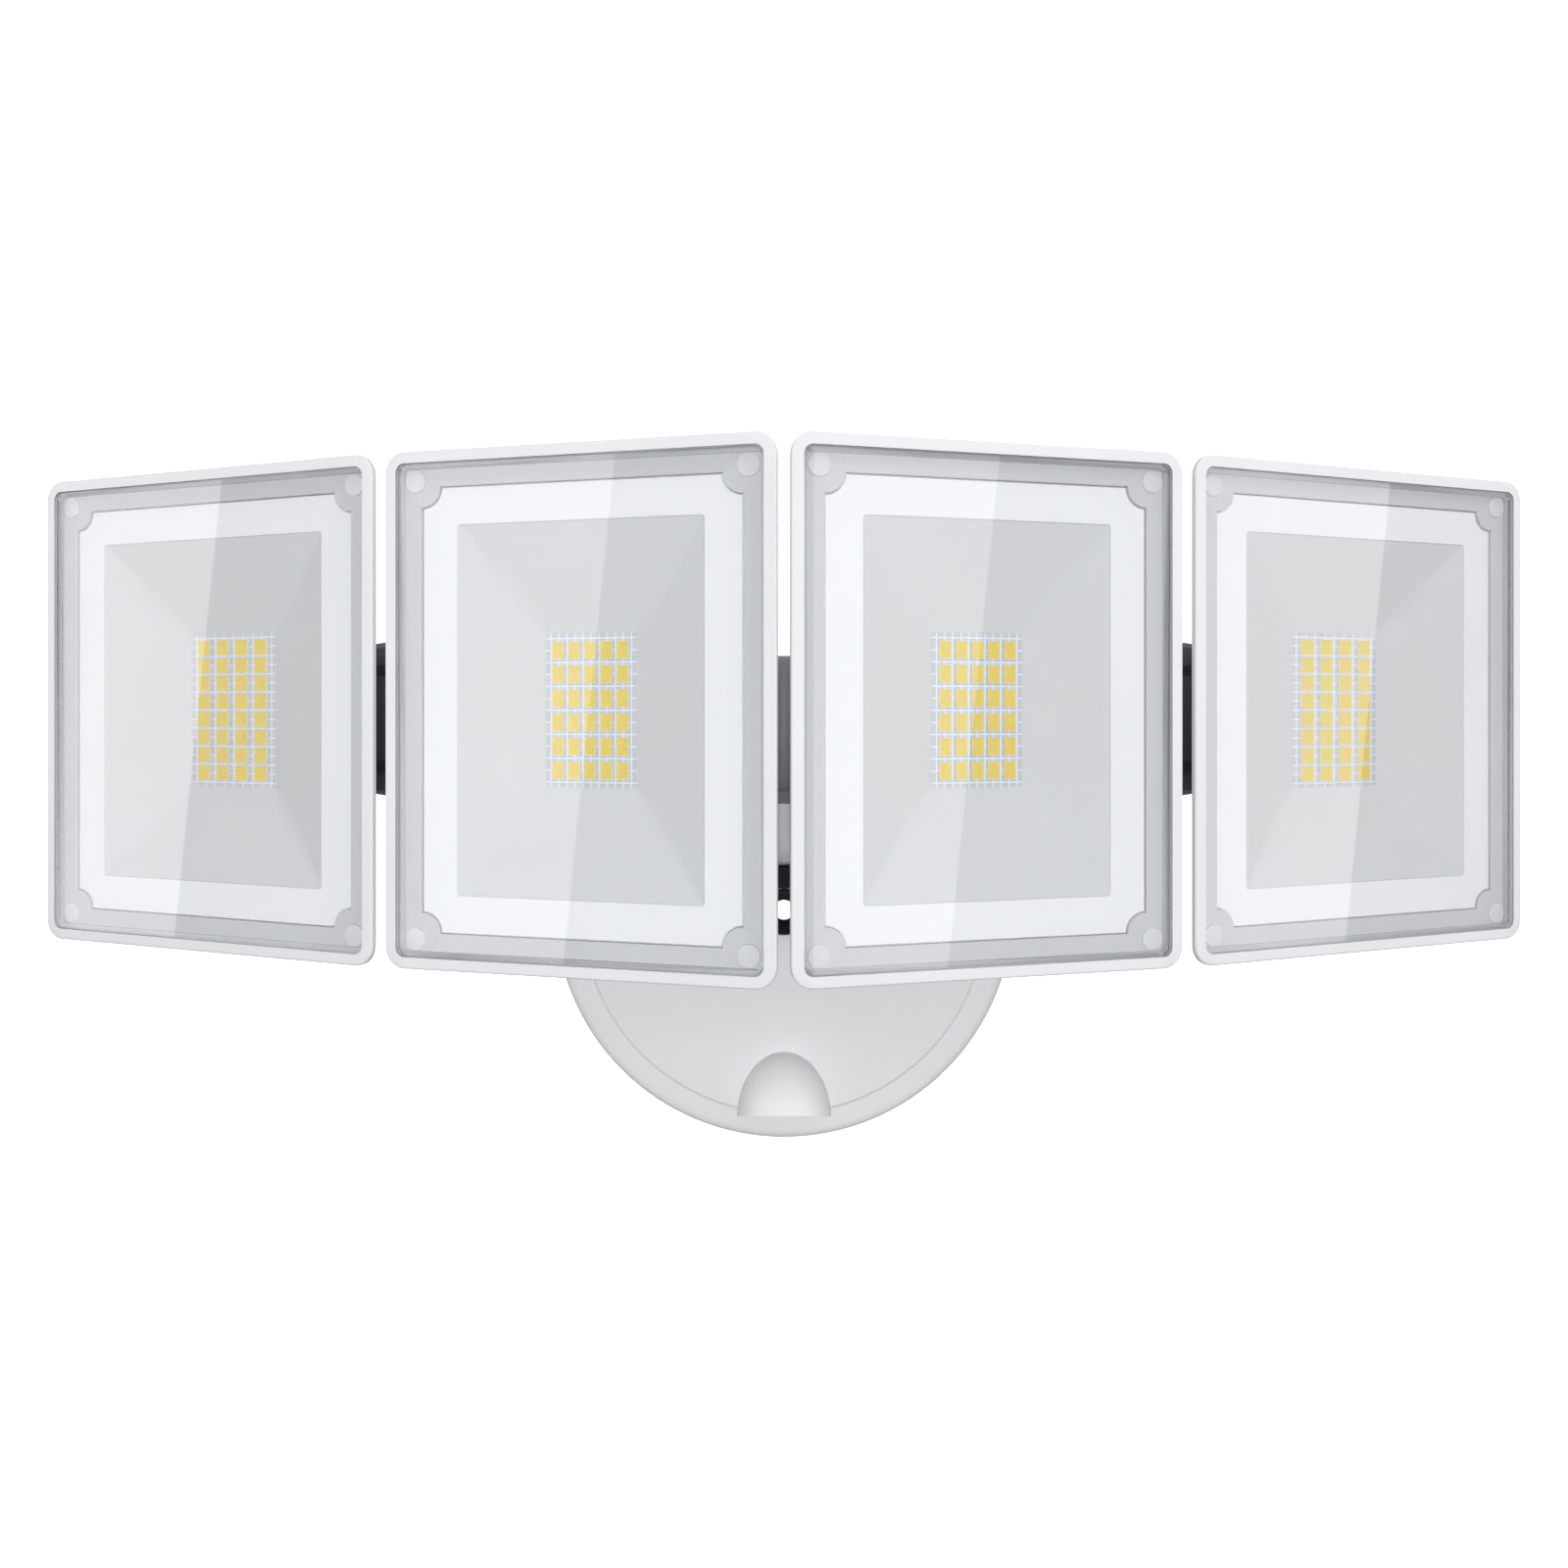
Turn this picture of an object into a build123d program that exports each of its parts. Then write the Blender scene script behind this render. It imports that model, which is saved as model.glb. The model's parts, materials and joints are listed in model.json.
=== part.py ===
"""Four-head LED floodlight with a motion sensor, for a round ceiling or wall box.

Millimetres, +Z up. The wall plane is Y = 0 and the lamp faces -Y. The origin is the centre of the
round base on the wall plane. The right half is modelled and mirrored to the left.
"""
import os
from math import cos, radians, sin, sqrt

from build123d import *

# ---------------------------------------------------------------- driving dimensions
# Lamp heads
HEAD_HEIGHT = 126.0
INNER_WIDTH = 98.0
OUTER_WIDTH = 108.0
HEAD_CORNER = 5.2          # corner radius of the rim
HEAD_DEPTH = 27.0          # front of the rim to the back face
RIM_DEPTH = 1.5            # straight part of the rim before the sides taper
RIM_BAND = 2.6             # width of the flat rim around the lens
RIM_ROUND = 0.6
BACK_INSET = 22.0          # how far the back face stands in from the rim on every side
SHELL = 2.0                # wall of the housing
SIDE_SKIN = 2.6            # wall of the tapered sides, measured across the head
INNER_YAW = 11.8           # degrees the inner heads turn outwards
OUTER_YAW = 17.0
HEAD_RISE = 57.7           # heads' centre above the centre of the base
CENTRE_GAP = 3.3           # between the two inner heads
OUTER_GAP = 3.2            # between an inner and an outer head
OUTER_STEP = 0.3           # outer head behind the inner one at the gap

# Lens, gasket and reflector
LENS_THICK = 2.4
LENS_SETBACK = 0.5         # lens front behind the rim front
LENS_CHAMFER = 0.35
GASKET_THICK = 0.5
GASKET_LIP = 0.3
GASKET_DROP = 0.4          # front of the lip behind the lens front
GASKET_FOOT = 1.5          # width of the gasket's foot under the lens
LEDGE_THICK = 1.6
LEDGE_INSET = 8.4          # inner edge of the ledge that carries the lens
LEDGE_CORNER = 1.0
CAVITY_CORNER = 2.0
BOSS_INSET = 7.0           # lens boss centres from the edges of the rim
BOSS_RADIUS = 2.8
BOSS_HEIGHT = 2.3
SOCKET_FLOOR = 1.0
POST_RADIUS = 4.4
LENS_SCREW_RADIUS = 1.0
LENS_SCREW_HEAD = 2.1
LENS_SCREW_HEAD_HEIGHT = 1.6
LENS_SCREW_ENTRY = 0.3     # screw tip past the back of the lens
POST_DEPTH = 3.0           # post beyond the screw seat
FLANGE_THICK = 1.2
FLANGE_SETBACK = 4.0       # flange front behind the rim front
FLANGE_WIDTH = 9.5
FLANGE_GAP = 0.4           # between the flange and the ledge
NOTCH_RADIUS = 5.0
FUNNEL_DEPTH = 8.0
REFLECTOR_WALL = 1.2

# LED boards: window, columns, rows, chip width, chip height
BOARD_THICK = 1.6
BOARD_CORNER = 0.8
BOARD_MARGIN = 3.0         # board beyond the reflector's window
PAD_MARGIN = 1.0           # pad beyond the board
PAD_RIM = 4.0              # solid edge round the hollow of the pad
PAD_SKIN = 3.0             # front of the pad over its hollow
CHIP_THICK = 0.7
INNER_BOARD = {"window": (23.8, 38.0), "grid": (5, 6), "chip": (3.1, 4.4), "pitch": (4.2, 5.9)}
OUTER_BOARD = {"window": (28.6, 41.6), "grid": (4, 8), "chip": (4.2, 4.2), "pitch": (6.4, 4.85)}

# Cooling fins on the back of a head
FIN_HEIGHT = 3.2
FIN_THICK = 1.8
FIN_COUNT = 9
FIN_MARGIN = 3.0

# Hub, knuckles and hinges
HUB_RADIUS = 19.2
HUB_HALF_WIDTH = 9.0
HUB_WALL = 3.0
HUB_DROP = 4.7             # hub axis below the heads' centre
HUB_TO_DISC = 0.6
HEAD_STANDOFF = 22.6       # front of the hub to the near front edge of an inner head
HUB_FOOT = (22.0, 3.4)     # depth and height of the foot under the hub
HUB_SCREW_SEAT_DEPTH = 10.0  # screw heads behind the hub axis
HUB_SCREW_MARGIN = 1.0     # screw heads in from the hub's wall
HUB_POST_RADIUS = 2.6
HUB_SCREW_TIP = 9.0        # screw tips in front of the hub axis
WIRE_OFFSET = 5.0          # wire duct behind the hub axis
SPIGOT_RADIUS = 9.0
SPIGOT_FLANGE_RADIUS = 12.0
SPIGOT_FLANGE_THICK = 2.1
SPIGOT_BORE = 5.0
KNUCKLE_WIDTH = 6.2
KNUCKLE_RIM = 1.5          # straight part of the knuckle before it narrows
KNUCKLE_TAPER = 6.7        # how much the knuckle narrows in radius
KNUCKLE_REACH = 8.5        # knuckle's outer face to the inner hinge pin
KNUCKLE_OFFSET = 2.2       # inner hinge pin behind the hub axis
WEB_THICK = 8.0
WEB_ROOT = 3.0             # web inside the knuckle
PIN_RADIUS = 2.5
PIN_HEAD_RADIUS = 4.2
PIN_HEAD_HEIGHT = 2.2
EYE_RADIUS = 6.5
EYE_HALF_HEIGHT = 11.0
EAR_THICK = 4.0
BRACKET_THICK = 3.2
BRACKET_MARGIN = 1.0       # inner bracket in from the edges of the back face
FAR_ROOT = 8.0             # root of the far eye in from the end of the bracket
OUTER_PIN_ALONG = -1.3     # outer hinge pin, from the near edge of the outer head along its width
HINGE_STANDOFF = 11.0      # outer hinge pin behind the back face
OUTER_EYE_DROP = 2.4       # middle of the outer hinge below the heads' centre
OUTER_WEB = (8.0, 50.0)    # start and end of the outer bracket's web along the outer head
OUTER_WEB_HEIGHT = (45.0, 36.0)
WEB_CHAMFER = 1.6

# Base
BASE_RADIUS = 67.3
BASE_DEPTH = 26.4
BASE_WALL = 2.5
BASE_ROUND = 2.0
RING_WIDTH = 9.1           # base ring that shows round the raised disc
DISC_PROUD = 4.0
DISC_ROUND = 1.0
SKIRT_DEPTH = 11.0
LEDGE_WIDTH = 13.2         # ledge inside the base that the disc is screwed to
LEDGE_PLATE = 2.0
BACK_PLATE_THICK = 3.0
CABLE_ENTRY_RADIUS = 12.0
WALL_GASKET_THICK = 1.5
CENTRE_HOLE_RADIUS = 3.0
GROMMET_RADIUS = 6.6
GROMMET_PROUD = 0.8
SCREW_RADIUS = 1.45
SCREW_HEAD_RADIUS = 2.6
SCREW_HEAD_HEIGHT = 1.8
SCREW_BOSS_RADIUS = 3.4
DISC_SCREW_INSET = 8.2     # disc screws in from the edge of the raised disc
BACK_SCREW_INSET = 8.3     # back plate screws in from the edge of the base

# Neck
NECK_HALF_WIDTH = 9.0
NECK_BOTTOM = 13.4
NECK_NOSE_BOTTOM = 18.6
NECK_FRONT = 9.2           # front of the neck, forward of the hub axis
NECK_ROUND = 5.0
NECK_WIRE_RADIUS = 4.0
SEAL_THICK = 4.0
SEAL_HALF_WIDTH = 7.0
SEAL_HEIGHT = 6.0

# Sensor
HOOD_HALF_WIDTH = 13.4
HOOD_HEIGHT = 18.5
HOOD_OVERHANG = 0.4        # hood below the raised disc
HOOD_STRAIGHT = 3.6        # straight part behind the dome
HOOD_WALL = 1.6
HOOD_SLOPE = 22.4          # degrees the mouth rises towards the front
SENSOR_LENS_THICK = 1.2
SENSOR_LENS_SETBACK = 1.2
SENSOR_WINDOW = (18.0, 12.0)
SENSOR_RISE = 8.6          # sensor axis above the hood's bottom
PIR_RADIUS = 4.0
PHOTOCELL_RADIUS = 1.8
PHOTOCELL_OFFSET = 6.6
PCB_THICK = 1.6

# Controls and driver
KNOB_RADIUS = 5.0
KNOB_HEIGHT = 6.0
KNOB_PROUD = 3.2
KNOB_GAP = 0.4             # round each knob in the base
KNOB_PITCH = 16.0
KNOB_STEM_RADIUS = 1.5
KNOB_DEPTH = 11.0          # knob axes from the wall plane
TRIMMER_HALF = 3.5
TRIMMER_HEIGHT = 4.0
STEM_BORE = 3.0            # depth of a trimmer's bore
CONTROL_RISE = 8.0         # control board above the inside of the base wall
DRIVER_THICK = 10.0
DRIVER_ROUND = 2.0
DRIVER_INSET = 16.3        # outer side of the driver in from the edge of the base
DRIVER_ENTRY_GAP = 9.0     # driver beside the cable entry
DRIVER_BOSS_GAP = 2.1      # driver above and below the bosses of the back plate's screws

# Clearances
FIT = 0.05                 # screws and pins in their own body
RUNNING = 0.09             # pins and spigots in what turns on them
SIDE_PLAY = 0.3            # faces that pass each other
EDGE_GAP = 0.3             # covers and trims in their openings
SCREW_PASS = 0.2           # screws through the housing
OVERLAP = 0.5              # how far joined shapes run into each other

# ---------------------------------------------------------------- derived places
DISC_RADIUS = BASE_RADIUS - RING_WIDTH
DISC_SCREW_CIRCLE = DISC_RADIUS - DISC_SCREW_INSET
BACK_SCREW_CIRCLE = BASE_RADIUS - BACK_SCREW_INSET
HOOD_BOTTOM = -(DISC_RADIUS + HOOD_OVERHANG)
KNUCKLE_END_RADIUS = HUB_RADIUS - KNUCKLE_TAPER
DISC_FRONT = -(BASE_DEPTH + DISC_PROUD)
HUB_Y = DISC_FRONT - HUB_TO_DISC - HUB_RADIUS
HUB_Z = HEAD_RISE - HUB_DROP
FRONT_Y = HUB_Y - HUB_RADIUS - HEAD_STANDOFF
KNUCKLE_IN = HUB_HALF_WIDTH + SIDE_PLAY
KNUCKLE_OUT = KNUCKLE_IN + KNUCKLE_WIDTH
LEDGE_FRONT = LENS_SETBACK + LENS_THICK + GASKET_THICK
LEDGE_BACK = LEDGE_FRONT + LEDGE_THICK
SOCKET_BOTTOM = LENS_SETBACK + LENS_THICK + BOSS_HEIGHT + GASKET_THICK
SCREW_SEAT = SOCKET_BOTTOM + SOCKET_FLOOR
BOARD_FRONT = FLANGE_SETBACK + FUNNEL_DEPTH
BOARD_BACK = BOARD_FRONT + BOARD_THICK
SIDE_SLOPE = BACK_INSET / (HEAD_DEPTH - RIM_DEPTH)
BRACKET_BACK = HEAD_DEPTH + BRACKET_THICK
PIN_HALF = EYE_HALF_HEIGHT + SIDE_PLAY + EAR_THICK
HOOD_AXIS_Y = DISC_FRONT - HOOD_STRAIGHT
LEDGE_OUT_Y = DISC_FRONT + SKIRT_DEPTH
BASE_INSIDE = BASE_RADIUS - BASE_WALL


# ---------------------------------------------------------------- small helpers
def turn(x, y, angle):
    """Turn a plan point about +Z."""
    a = radians(angle)
    return x * cos(a) - y * sin(a), x * sin(a) + y * cos(a)


def block(x0, x1, y0, y1, z0, z1):
    """Box between two corners."""
    middle = Pos((x0 + x1) / 2, (y0 + y1) / 2, (z0 + z1) / 2)
    return middle * Box(x1 - x0, y1 - y0, z1 - z0)


def rod_y(radius, y0, y1, x=0.0, z=0.0):
    """Cylinder along Y."""
    return Pos(x, (y0 + y1) / 2, z) * Rot(90, 0, 0) * Cylinder(radius, y1 - y0)


def rod_x(radius, x0, x1, y=0.0, z=0.0):
    """Cylinder along X."""
    return Pos((x0 + x1) / 2, y, z) * Rot(0, 90, 0) * Cylinder(radius, x1 - x0)


def rod_z(radius, z0, z1, x=0.0, y=0.0):
    """Cylinder along Z."""
    return Pos(x, y, (z0 + z1) / 2) * Cylinder(radius, z1 - z0)


def cone_x(start_radius, end_radius, x0, x1, y=0.0, z=0.0):
    """Cone along X, from its start at x0 to its end at x1."""
    return Pos((x0 + x1) / 2, y, z) * Rot(0, 90, 0) * Cone(start_radius, end_radius, x1 - x0)


def cone_y(front_radius, back_radius, y0, y1):
    """Cone along Y, from its front at y0 to its back at y1."""
    return Pos(0, (y0 + y1) / 2, 0) * Rot(90, 0, 0) * Cone(back_radius, front_radius, y1 - y0)


def outline(width, height, corner, depth):
    """Rectangle facing the front, at a depth behind the rim front."""
    shape = RectangleRounded(width, height, corner) if corner > 0 else Rectangle(width, height)
    return Rot(90, 0, 0) * Pos(0, 0, -depth) * shape


def slab(width, height, corner, front, back):
    """Plate facing the front, between two depths."""
    return extrude(outline(width, height, corner, back), back - front, dir=(0, -1, 0))


def inset_outline(width, inset, corner, depth):
    """Outline of a head, drawn in from its edges."""
    return outline(width - 2 * inset, HEAD_HEIGHT - 2 * inset, corner, depth)


def inset_slab(width, inset, corner, front, back):
    """Plate as large as a head, drawn in from its edges."""
    return slab(width - 2 * inset, HEAD_HEIGHT - 2 * inset, corner, front, back)


def taper(front, back):
    """Solid between two outlines."""
    return loft([front, back], ruled=True)


def corners(width, height, inset):
    """The four corner points at an inset from the edges."""
    x = width / 2 - inset
    z = height / 2 - inset
    return [(x, z), (-x, z), (-x, -z), (x, -z)]


def side_inset(depth):
    """How far a head's outside stands in from the rim at a depth."""
    return max(0.0, (depth - RIM_DEPTH) * SIDE_SLOPE)


def one(shapes):
    """Several separate solids as one node."""
    return Compound(children=list(shapes))


# ---------------------------------------------------------------- where the heads stand
class Pose:
    """Plan position of a head, from its near front edge and its yaw."""

    def __init__(self, width, near, yaw):
        self.width = width
        self.near = near
        self.yaw = yaw
        step = turn(width / 2, 0, yaw)
        self.centre = (near[0] + step[0], near[1] + step[1])

    def edge(self, along, depth):
        """World plan point at a distance along from the near edge and a depth from the front."""
        step = turn(along, depth, self.yaw)
        return self.near[0] + step[0], self.near[1] + step[1]

    def local(self, point):
        """A world plan point in the head's own frame."""
        return turn(point[0] - self.centre[0], point[1] - self.centre[1], -self.yaw)

    def place(self, shape):
        """Move a shape from the head's frame to the world."""
        return Pos(self.centre[0], self.centre[1], HEAD_RISE) * Rot(0, 0, self.yaw) * shape


INNER = Pose(INNER_WIDTH, (CENTRE_GAP / 2, FRONT_Y), INNER_YAW)
INNER_FAR = INNER.edge(INNER_WIDTH, 0)
OUTER = Pose(OUTER_WIDTH, (INNER_FAR[0] + OUTER_GAP, INNER_FAR[1] + OUTER_STEP), OUTER_YAW)
INNER_PIN = (KNUCKLE_OUT + KNUCKLE_REACH, HUB_Y + KNUCKLE_OFFSET)
OUTER_PIN = OUTER.edge(OUTER_PIN_ALONG, HEAD_DEPTH + HINGE_STANDOFF)


# ---------------------------------------------------------------- lamp head
def head_envelope(width):
    """Outside of a housing: a short straight rim, then sides that taper to the back face."""
    rim = slab(width, HEAD_HEIGHT, HEAD_CORNER, 0, RIM_DEPTH)
    rim = fillet(rim.faces().sort_by(Axis.Y)[0].edges(), RIM_ROUND)
    front = outline(width, HEAD_HEIGHT, HEAD_CORNER, RIM_DEPTH)
    back = inset_outline(width, BACK_INSET, HEAD_CORNER, HEAD_DEPTH)
    return rim + taper(front, back)


def head_cavity(width):
    """Inside of a housing: the lens pocket, the ledge opening and the room behind it."""
    pocket = inset_slab(width, RIM_BAND, HEAD_CORNER - RIM_BAND, -1, LEDGE_FRONT)
    opening = inset_slab(width, LEDGE_INSET, LEDGE_CORNER, LEDGE_FRONT, LEDGE_BACK)
    floor = HEAD_DEPTH - SHELL
    front = inset_outline(width, side_inset(LEDGE_BACK) + SIDE_SKIN, CAVITY_CORNER, LEDGE_BACK)
    back = inset_outline(width, side_inset(floor) + SIDE_SKIN, CAVITY_CORNER, floor)
    return pocket + opening + taper(front, back)


def cooling_fins(width, keep_low, keep_high):
    """Upright fins on the back face, left out between two heights where the bracket lies."""
    half_width = width / 2 - BACK_INSET - FIN_MARGIN
    top = HEAD_HEIGHT / 2 - BACK_INSET - FIN_MARGIN
    pitch = 2 * (half_width - FIN_THICK / 2) / (FIN_COUNT - 1)
    fins = []
    for i in range(FIN_COUNT):
        x = -half_width + FIN_THICK / 2 + i * pitch
        for low, high in ((-top, keep_low), (keep_high, top)):
            fins.append(block(x - FIN_THICK / 2, x + FIN_THICK / 2,
                              HEAD_DEPTH - OVERLAP, HEAD_DEPTH + FIN_HEIGHT, low, high))
    return fins


def housing(width, board, keep_low, keep_high):
    """White cast housing with screw posts, a pad for the LED board and cooling fins."""
    envelope = head_envelope(width)
    body = envelope - head_cavity(width)
    for x, z in corners(width, HEAD_HEIGHT, BOSS_INSET):
        body += rod_y(POST_RADIUS, LEDGE_FRONT, SCREW_SEAT + POST_DEPTH, x, z) & envelope
    for x, z in corners(width, HEAD_HEIGHT, BOSS_INSET):
        body -= rod_y(BOSS_RADIUS + EDGE_GAP, LEDGE_FRONT - 1, SOCKET_BOTTOM, x, z)
        body -= rod_y(LENS_SCREW_RADIUS + SCREW_PASS, SOCKET_BOTTOM - 1, SCREW_SEAT + 1, x, z)
        body -= rod_y(LENS_SCREW_HEAD + EDGE_GAP, SCREW_SEAT, HEAD_DEPTH, x, z)
    pad_w = board["window"][0] + 2 * (BOARD_MARGIN + PAD_MARGIN)
    pad_h = board["window"][1] + 2 * (BOARD_MARGIN + PAD_MARGIN)
    floor = HEAD_DEPTH - SHELL
    pad = slab(pad_w, pad_h, LEDGE_CORNER, BOARD_BACK, floor + OVERLAP)
    body += pad - slab(pad_w - 2 * PAD_RIM, pad_h - 2 * PAD_RIM, LEDGE_CORNER, BOARD_BACK + PAD_SKIN, floor)
    for fin in cooling_fins(width, keep_low, keep_high):
        body += fin
    return body


def lens(width):
    """Clear front cover with four hollow bosses on its back."""
    edge = RIM_BAND + GASKET_LIP
    back = LENS_SETBACK + LENS_THICK
    plate = inset_slab(width, edge, HEAD_CORNER - edge, LENS_SETBACK, back)
    plate = chamfer(plate.faces().sort_by(Axis.Y)[0].edges(), LENS_CHAMFER)
    for x, z in corners(width, HEAD_HEIGHT, BOSS_INSET):
        plate += rod_y(BOSS_RADIUS, back - OVERLAP, back + BOSS_HEIGHT, x, z)
        plate -= rod_y(LENS_SCREW_RADIUS + FIT, back, back + BOSS_HEIGHT + 1, x, z)
    return plate


def lens_gasket(width):
    """Soft frame with a foot under the lens and a lip around it."""
    back = LENS_SETBACK + LENS_THICK
    outer = RIM_BAND
    foot = outer + GASKET_FOOT
    lip = outer + GASKET_LIP
    frame = inset_slab(width, outer, HEAD_CORNER - outer, LENS_SETBACK + GASKET_DROP, LEDGE_FRONT)
    frame -= inset_slab(width, foot, LEDGE_CORNER, 0, LEDGE_FRONT + 1)
    return frame - inset_slab(width, lip, HEAD_CORNER - lip, 0, back)


def reflector(width, board):
    """White tray: a notched flange and a four-sided funnel down to the board's window."""
    flange_w = width - 2 * (LEDGE_INSET + FLANGE_GAP)
    flange_h = HEAD_HEIGHT - 2 * (LEDGE_INSET + FLANGE_GAP)
    open_w = flange_w - 2 * FLANGE_WIDTH
    open_h = flange_h - 2 * FLANGE_WIDTH
    win_w, win_h = board["window"]
    tray = slab(flange_w, flange_h, 0, FLANGE_SETBACK, FLANGE_SETBACK + FLANGE_THICK)
    for x, z in corners(flange_w, flange_h, 0):
        tray -= rod_y(NOTCH_RADIUS, 0, HEAD_DEPTH, x, z)
    skin = 2 * REFLECTOR_WALL
    tray += taper(outline(open_w + skin, open_h + skin, 0, FLANGE_SETBACK + FLANGE_THICK / 4),
                  outline(win_w + skin, win_h + skin, 0, BOARD_FRONT))
    funnel = taper(outline(open_w, open_h, 0, FLANGE_SETBACK), outline(win_w, win_h, 0, BOARD_FRONT))
    return tray - funnel


def led_board(board):
    """Metal-core board behind the reflector's window."""
    width = board["window"][0] + 2 * BOARD_MARGIN
    height = board["window"][1] + 2 * BOARD_MARGIN
    return slab(width, height, BOARD_CORNER, BOARD_FRONT, BOARD_BACK)


def led_chips(board):
    """Grid of LED packages on the board."""
    columns, rows = board["grid"]
    chip_w, chip_h = board["chip"]
    pitch_x, pitch_z = board["pitch"]
    chips = []
    for i in range(columns):
        for j in range(rows):
            x = (i - (columns - 1) / 2) * pitch_x
            z = (j - (rows - 1) / 2) * pitch_z
            chips.append(block(x - chip_w / 2, x + chip_w / 2, BOARD_FRONT - CHIP_THICK, BOARD_FRONT,
                               z - chip_h / 2, z + chip_h / 2))
    return one(chips)


def lens_screws(width):
    """Four screws from behind that pull the lens onto its gasket."""
    tip = LENS_SETBACK + LENS_THICK + LENS_SCREW_ENTRY
    screws = []
    for x, z in corners(width, HEAD_HEIGHT, BOSS_INSET):
        shaft = rod_y(LENS_SCREW_RADIUS, tip, SCREW_SEAT + OVERLAP, x, z)
        head = rod_y(LENS_SCREW_HEAD, SCREW_SEAT, SCREW_SEAT + LENS_SCREW_HEAD_HEIGHT, x, z)
        screws.append(shaft + head)
    return one(screws)


# ---------------------------------------------------------------- brackets and hinges
def plan_link(points, low, high):
    """Upright plate whose plan is the hull of circles (x, y, radius)."""
    circles = Sketch()
    for x, y, radius in points:
        circles += Pos(x, y) * Circle(radius)
    return Pos(0, 0, low) * extrude(make_hull(circles.edges()), high - low)


def fork(pin, root_x, middle):
    """Two ears that reach from a bracket plate to a hinge pin."""
    half = BRACKET_THICK / 2
    plan = [(pin[0], pin[1], EYE_RADIUS), (root_x, HEAD_DEPTH + half, half),
            (root_x + 2 * EYE_RADIUS, HEAD_DEPTH + half, half)]
    ears = []
    for side in (1, -1):
        low = middle + side * (EYE_HALF_HEIGHT + SIDE_PLAY)
        high = middle + side * PIN_HALF
        ears.append(plan_link(plan, min(low, high), max(low, high)))
    return ears


def inner_bracket():
    """Dark bracket across the back of an inner head: a fork at the hub end, an eye at the outer end."""
    pin = INNER.local(INNER_PIN)
    far_pin = INNER.local(OUTER_PIN)
    middle = -HUB_DROP
    far_middle = -OUTER_EYE_DROP
    near_x = -INNER_WIDTH / 2 + BACK_INSET + BRACKET_MARGIN
    far_x = -near_x
    fork_end = near_x + 3 * EYE_RADIUS
    body = block(near_x, fork_end, HEAD_DEPTH, BRACKET_BACK, middle - PIN_HALF, middle + PIN_HALF)
    body += block(near_x, far_x, HEAD_DEPTH, BRACKET_BACK,
                  middle - EYE_HALF_HEIGHT, far_middle + EYE_HALF_HEIGHT)
    for ear in fork(pin, near_x + BRACKET_THICK / 2, middle):
        body += ear
    body += plan_link([(far_pin[0], far_pin[1], EYE_RADIUS),
                       (far_x - FAR_ROOT, HEAD_DEPTH + BRACKET_THICK / 2, BRACKET_THICK / 2)],
                      far_middle - EYE_HALF_HEIGHT, far_middle + EYE_HALF_HEIGHT)
    reach = 2 * PIN_HALF
    body -= rod_z(PIN_RADIUS + FIT, middle - reach, middle + reach, *pin)
    return body - rod_z(PIN_RADIUS + RUNNING, far_middle - reach, far_middle + reach, *far_pin)


def outer_bracket():
    """Dark bracket behind an outer head: a tall tapering web with a fork at the hinge."""
    pin = OUTER.local(OUTER_PIN)
    middle = -OUTER_EYE_DROP
    start = -OUTER_WIDTH / 2 + OUTER_WEB[0]
    end = -OUTER_WIDTH / 2 + OUTER_WEB[1]
    tall = OUTER_WEB_HEIGHT[0] / 2
    short = OUTER_WEB_HEIGHT[1] / 2
    side = Polyline((start, middle - tall), (end, middle - short), (end, middle + short),
                    (start, middle + tall), close=True)
    web = extrude(Rot(90, 0, 0) * Pos(0, 0, -BRACKET_BACK) * make_face(side), BRACKET_THICK, dir=(0, -1, 0))
    front_face = web.faces().sort_by(Axis.Y)[0]
    long_edges = [e for e in front_face.edges() if abs((e @ 1).X - (e @ 0).X) > 1.0]
    web = chamfer(long_edges, WEB_CHAMFER)
    for ear in fork(pin, start + BRACKET_THICK / 2, middle):
        web += ear
    reach = 2 * PIN_HALF
    return web - rod_z(PIN_RADIUS + FIT, middle - reach, middle + reach, *pin)


def hinge_pin(point, middle):
    """Headed pin that is riveted over at its lower end."""
    reach = PIN_HALF + PIN_HEAD_HEIGHT
    pin = rod_z(PIN_RADIUS, middle - reach, middle + reach, *point)
    for side in (1, -1):
        low = middle + side * PIN_HALF
        high = low + side * PIN_HEAD_HEIGHT
        pin += rod_z(PIN_HEAD_RADIUS, min(low, high), max(low, high), *point)
    return pin


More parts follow.
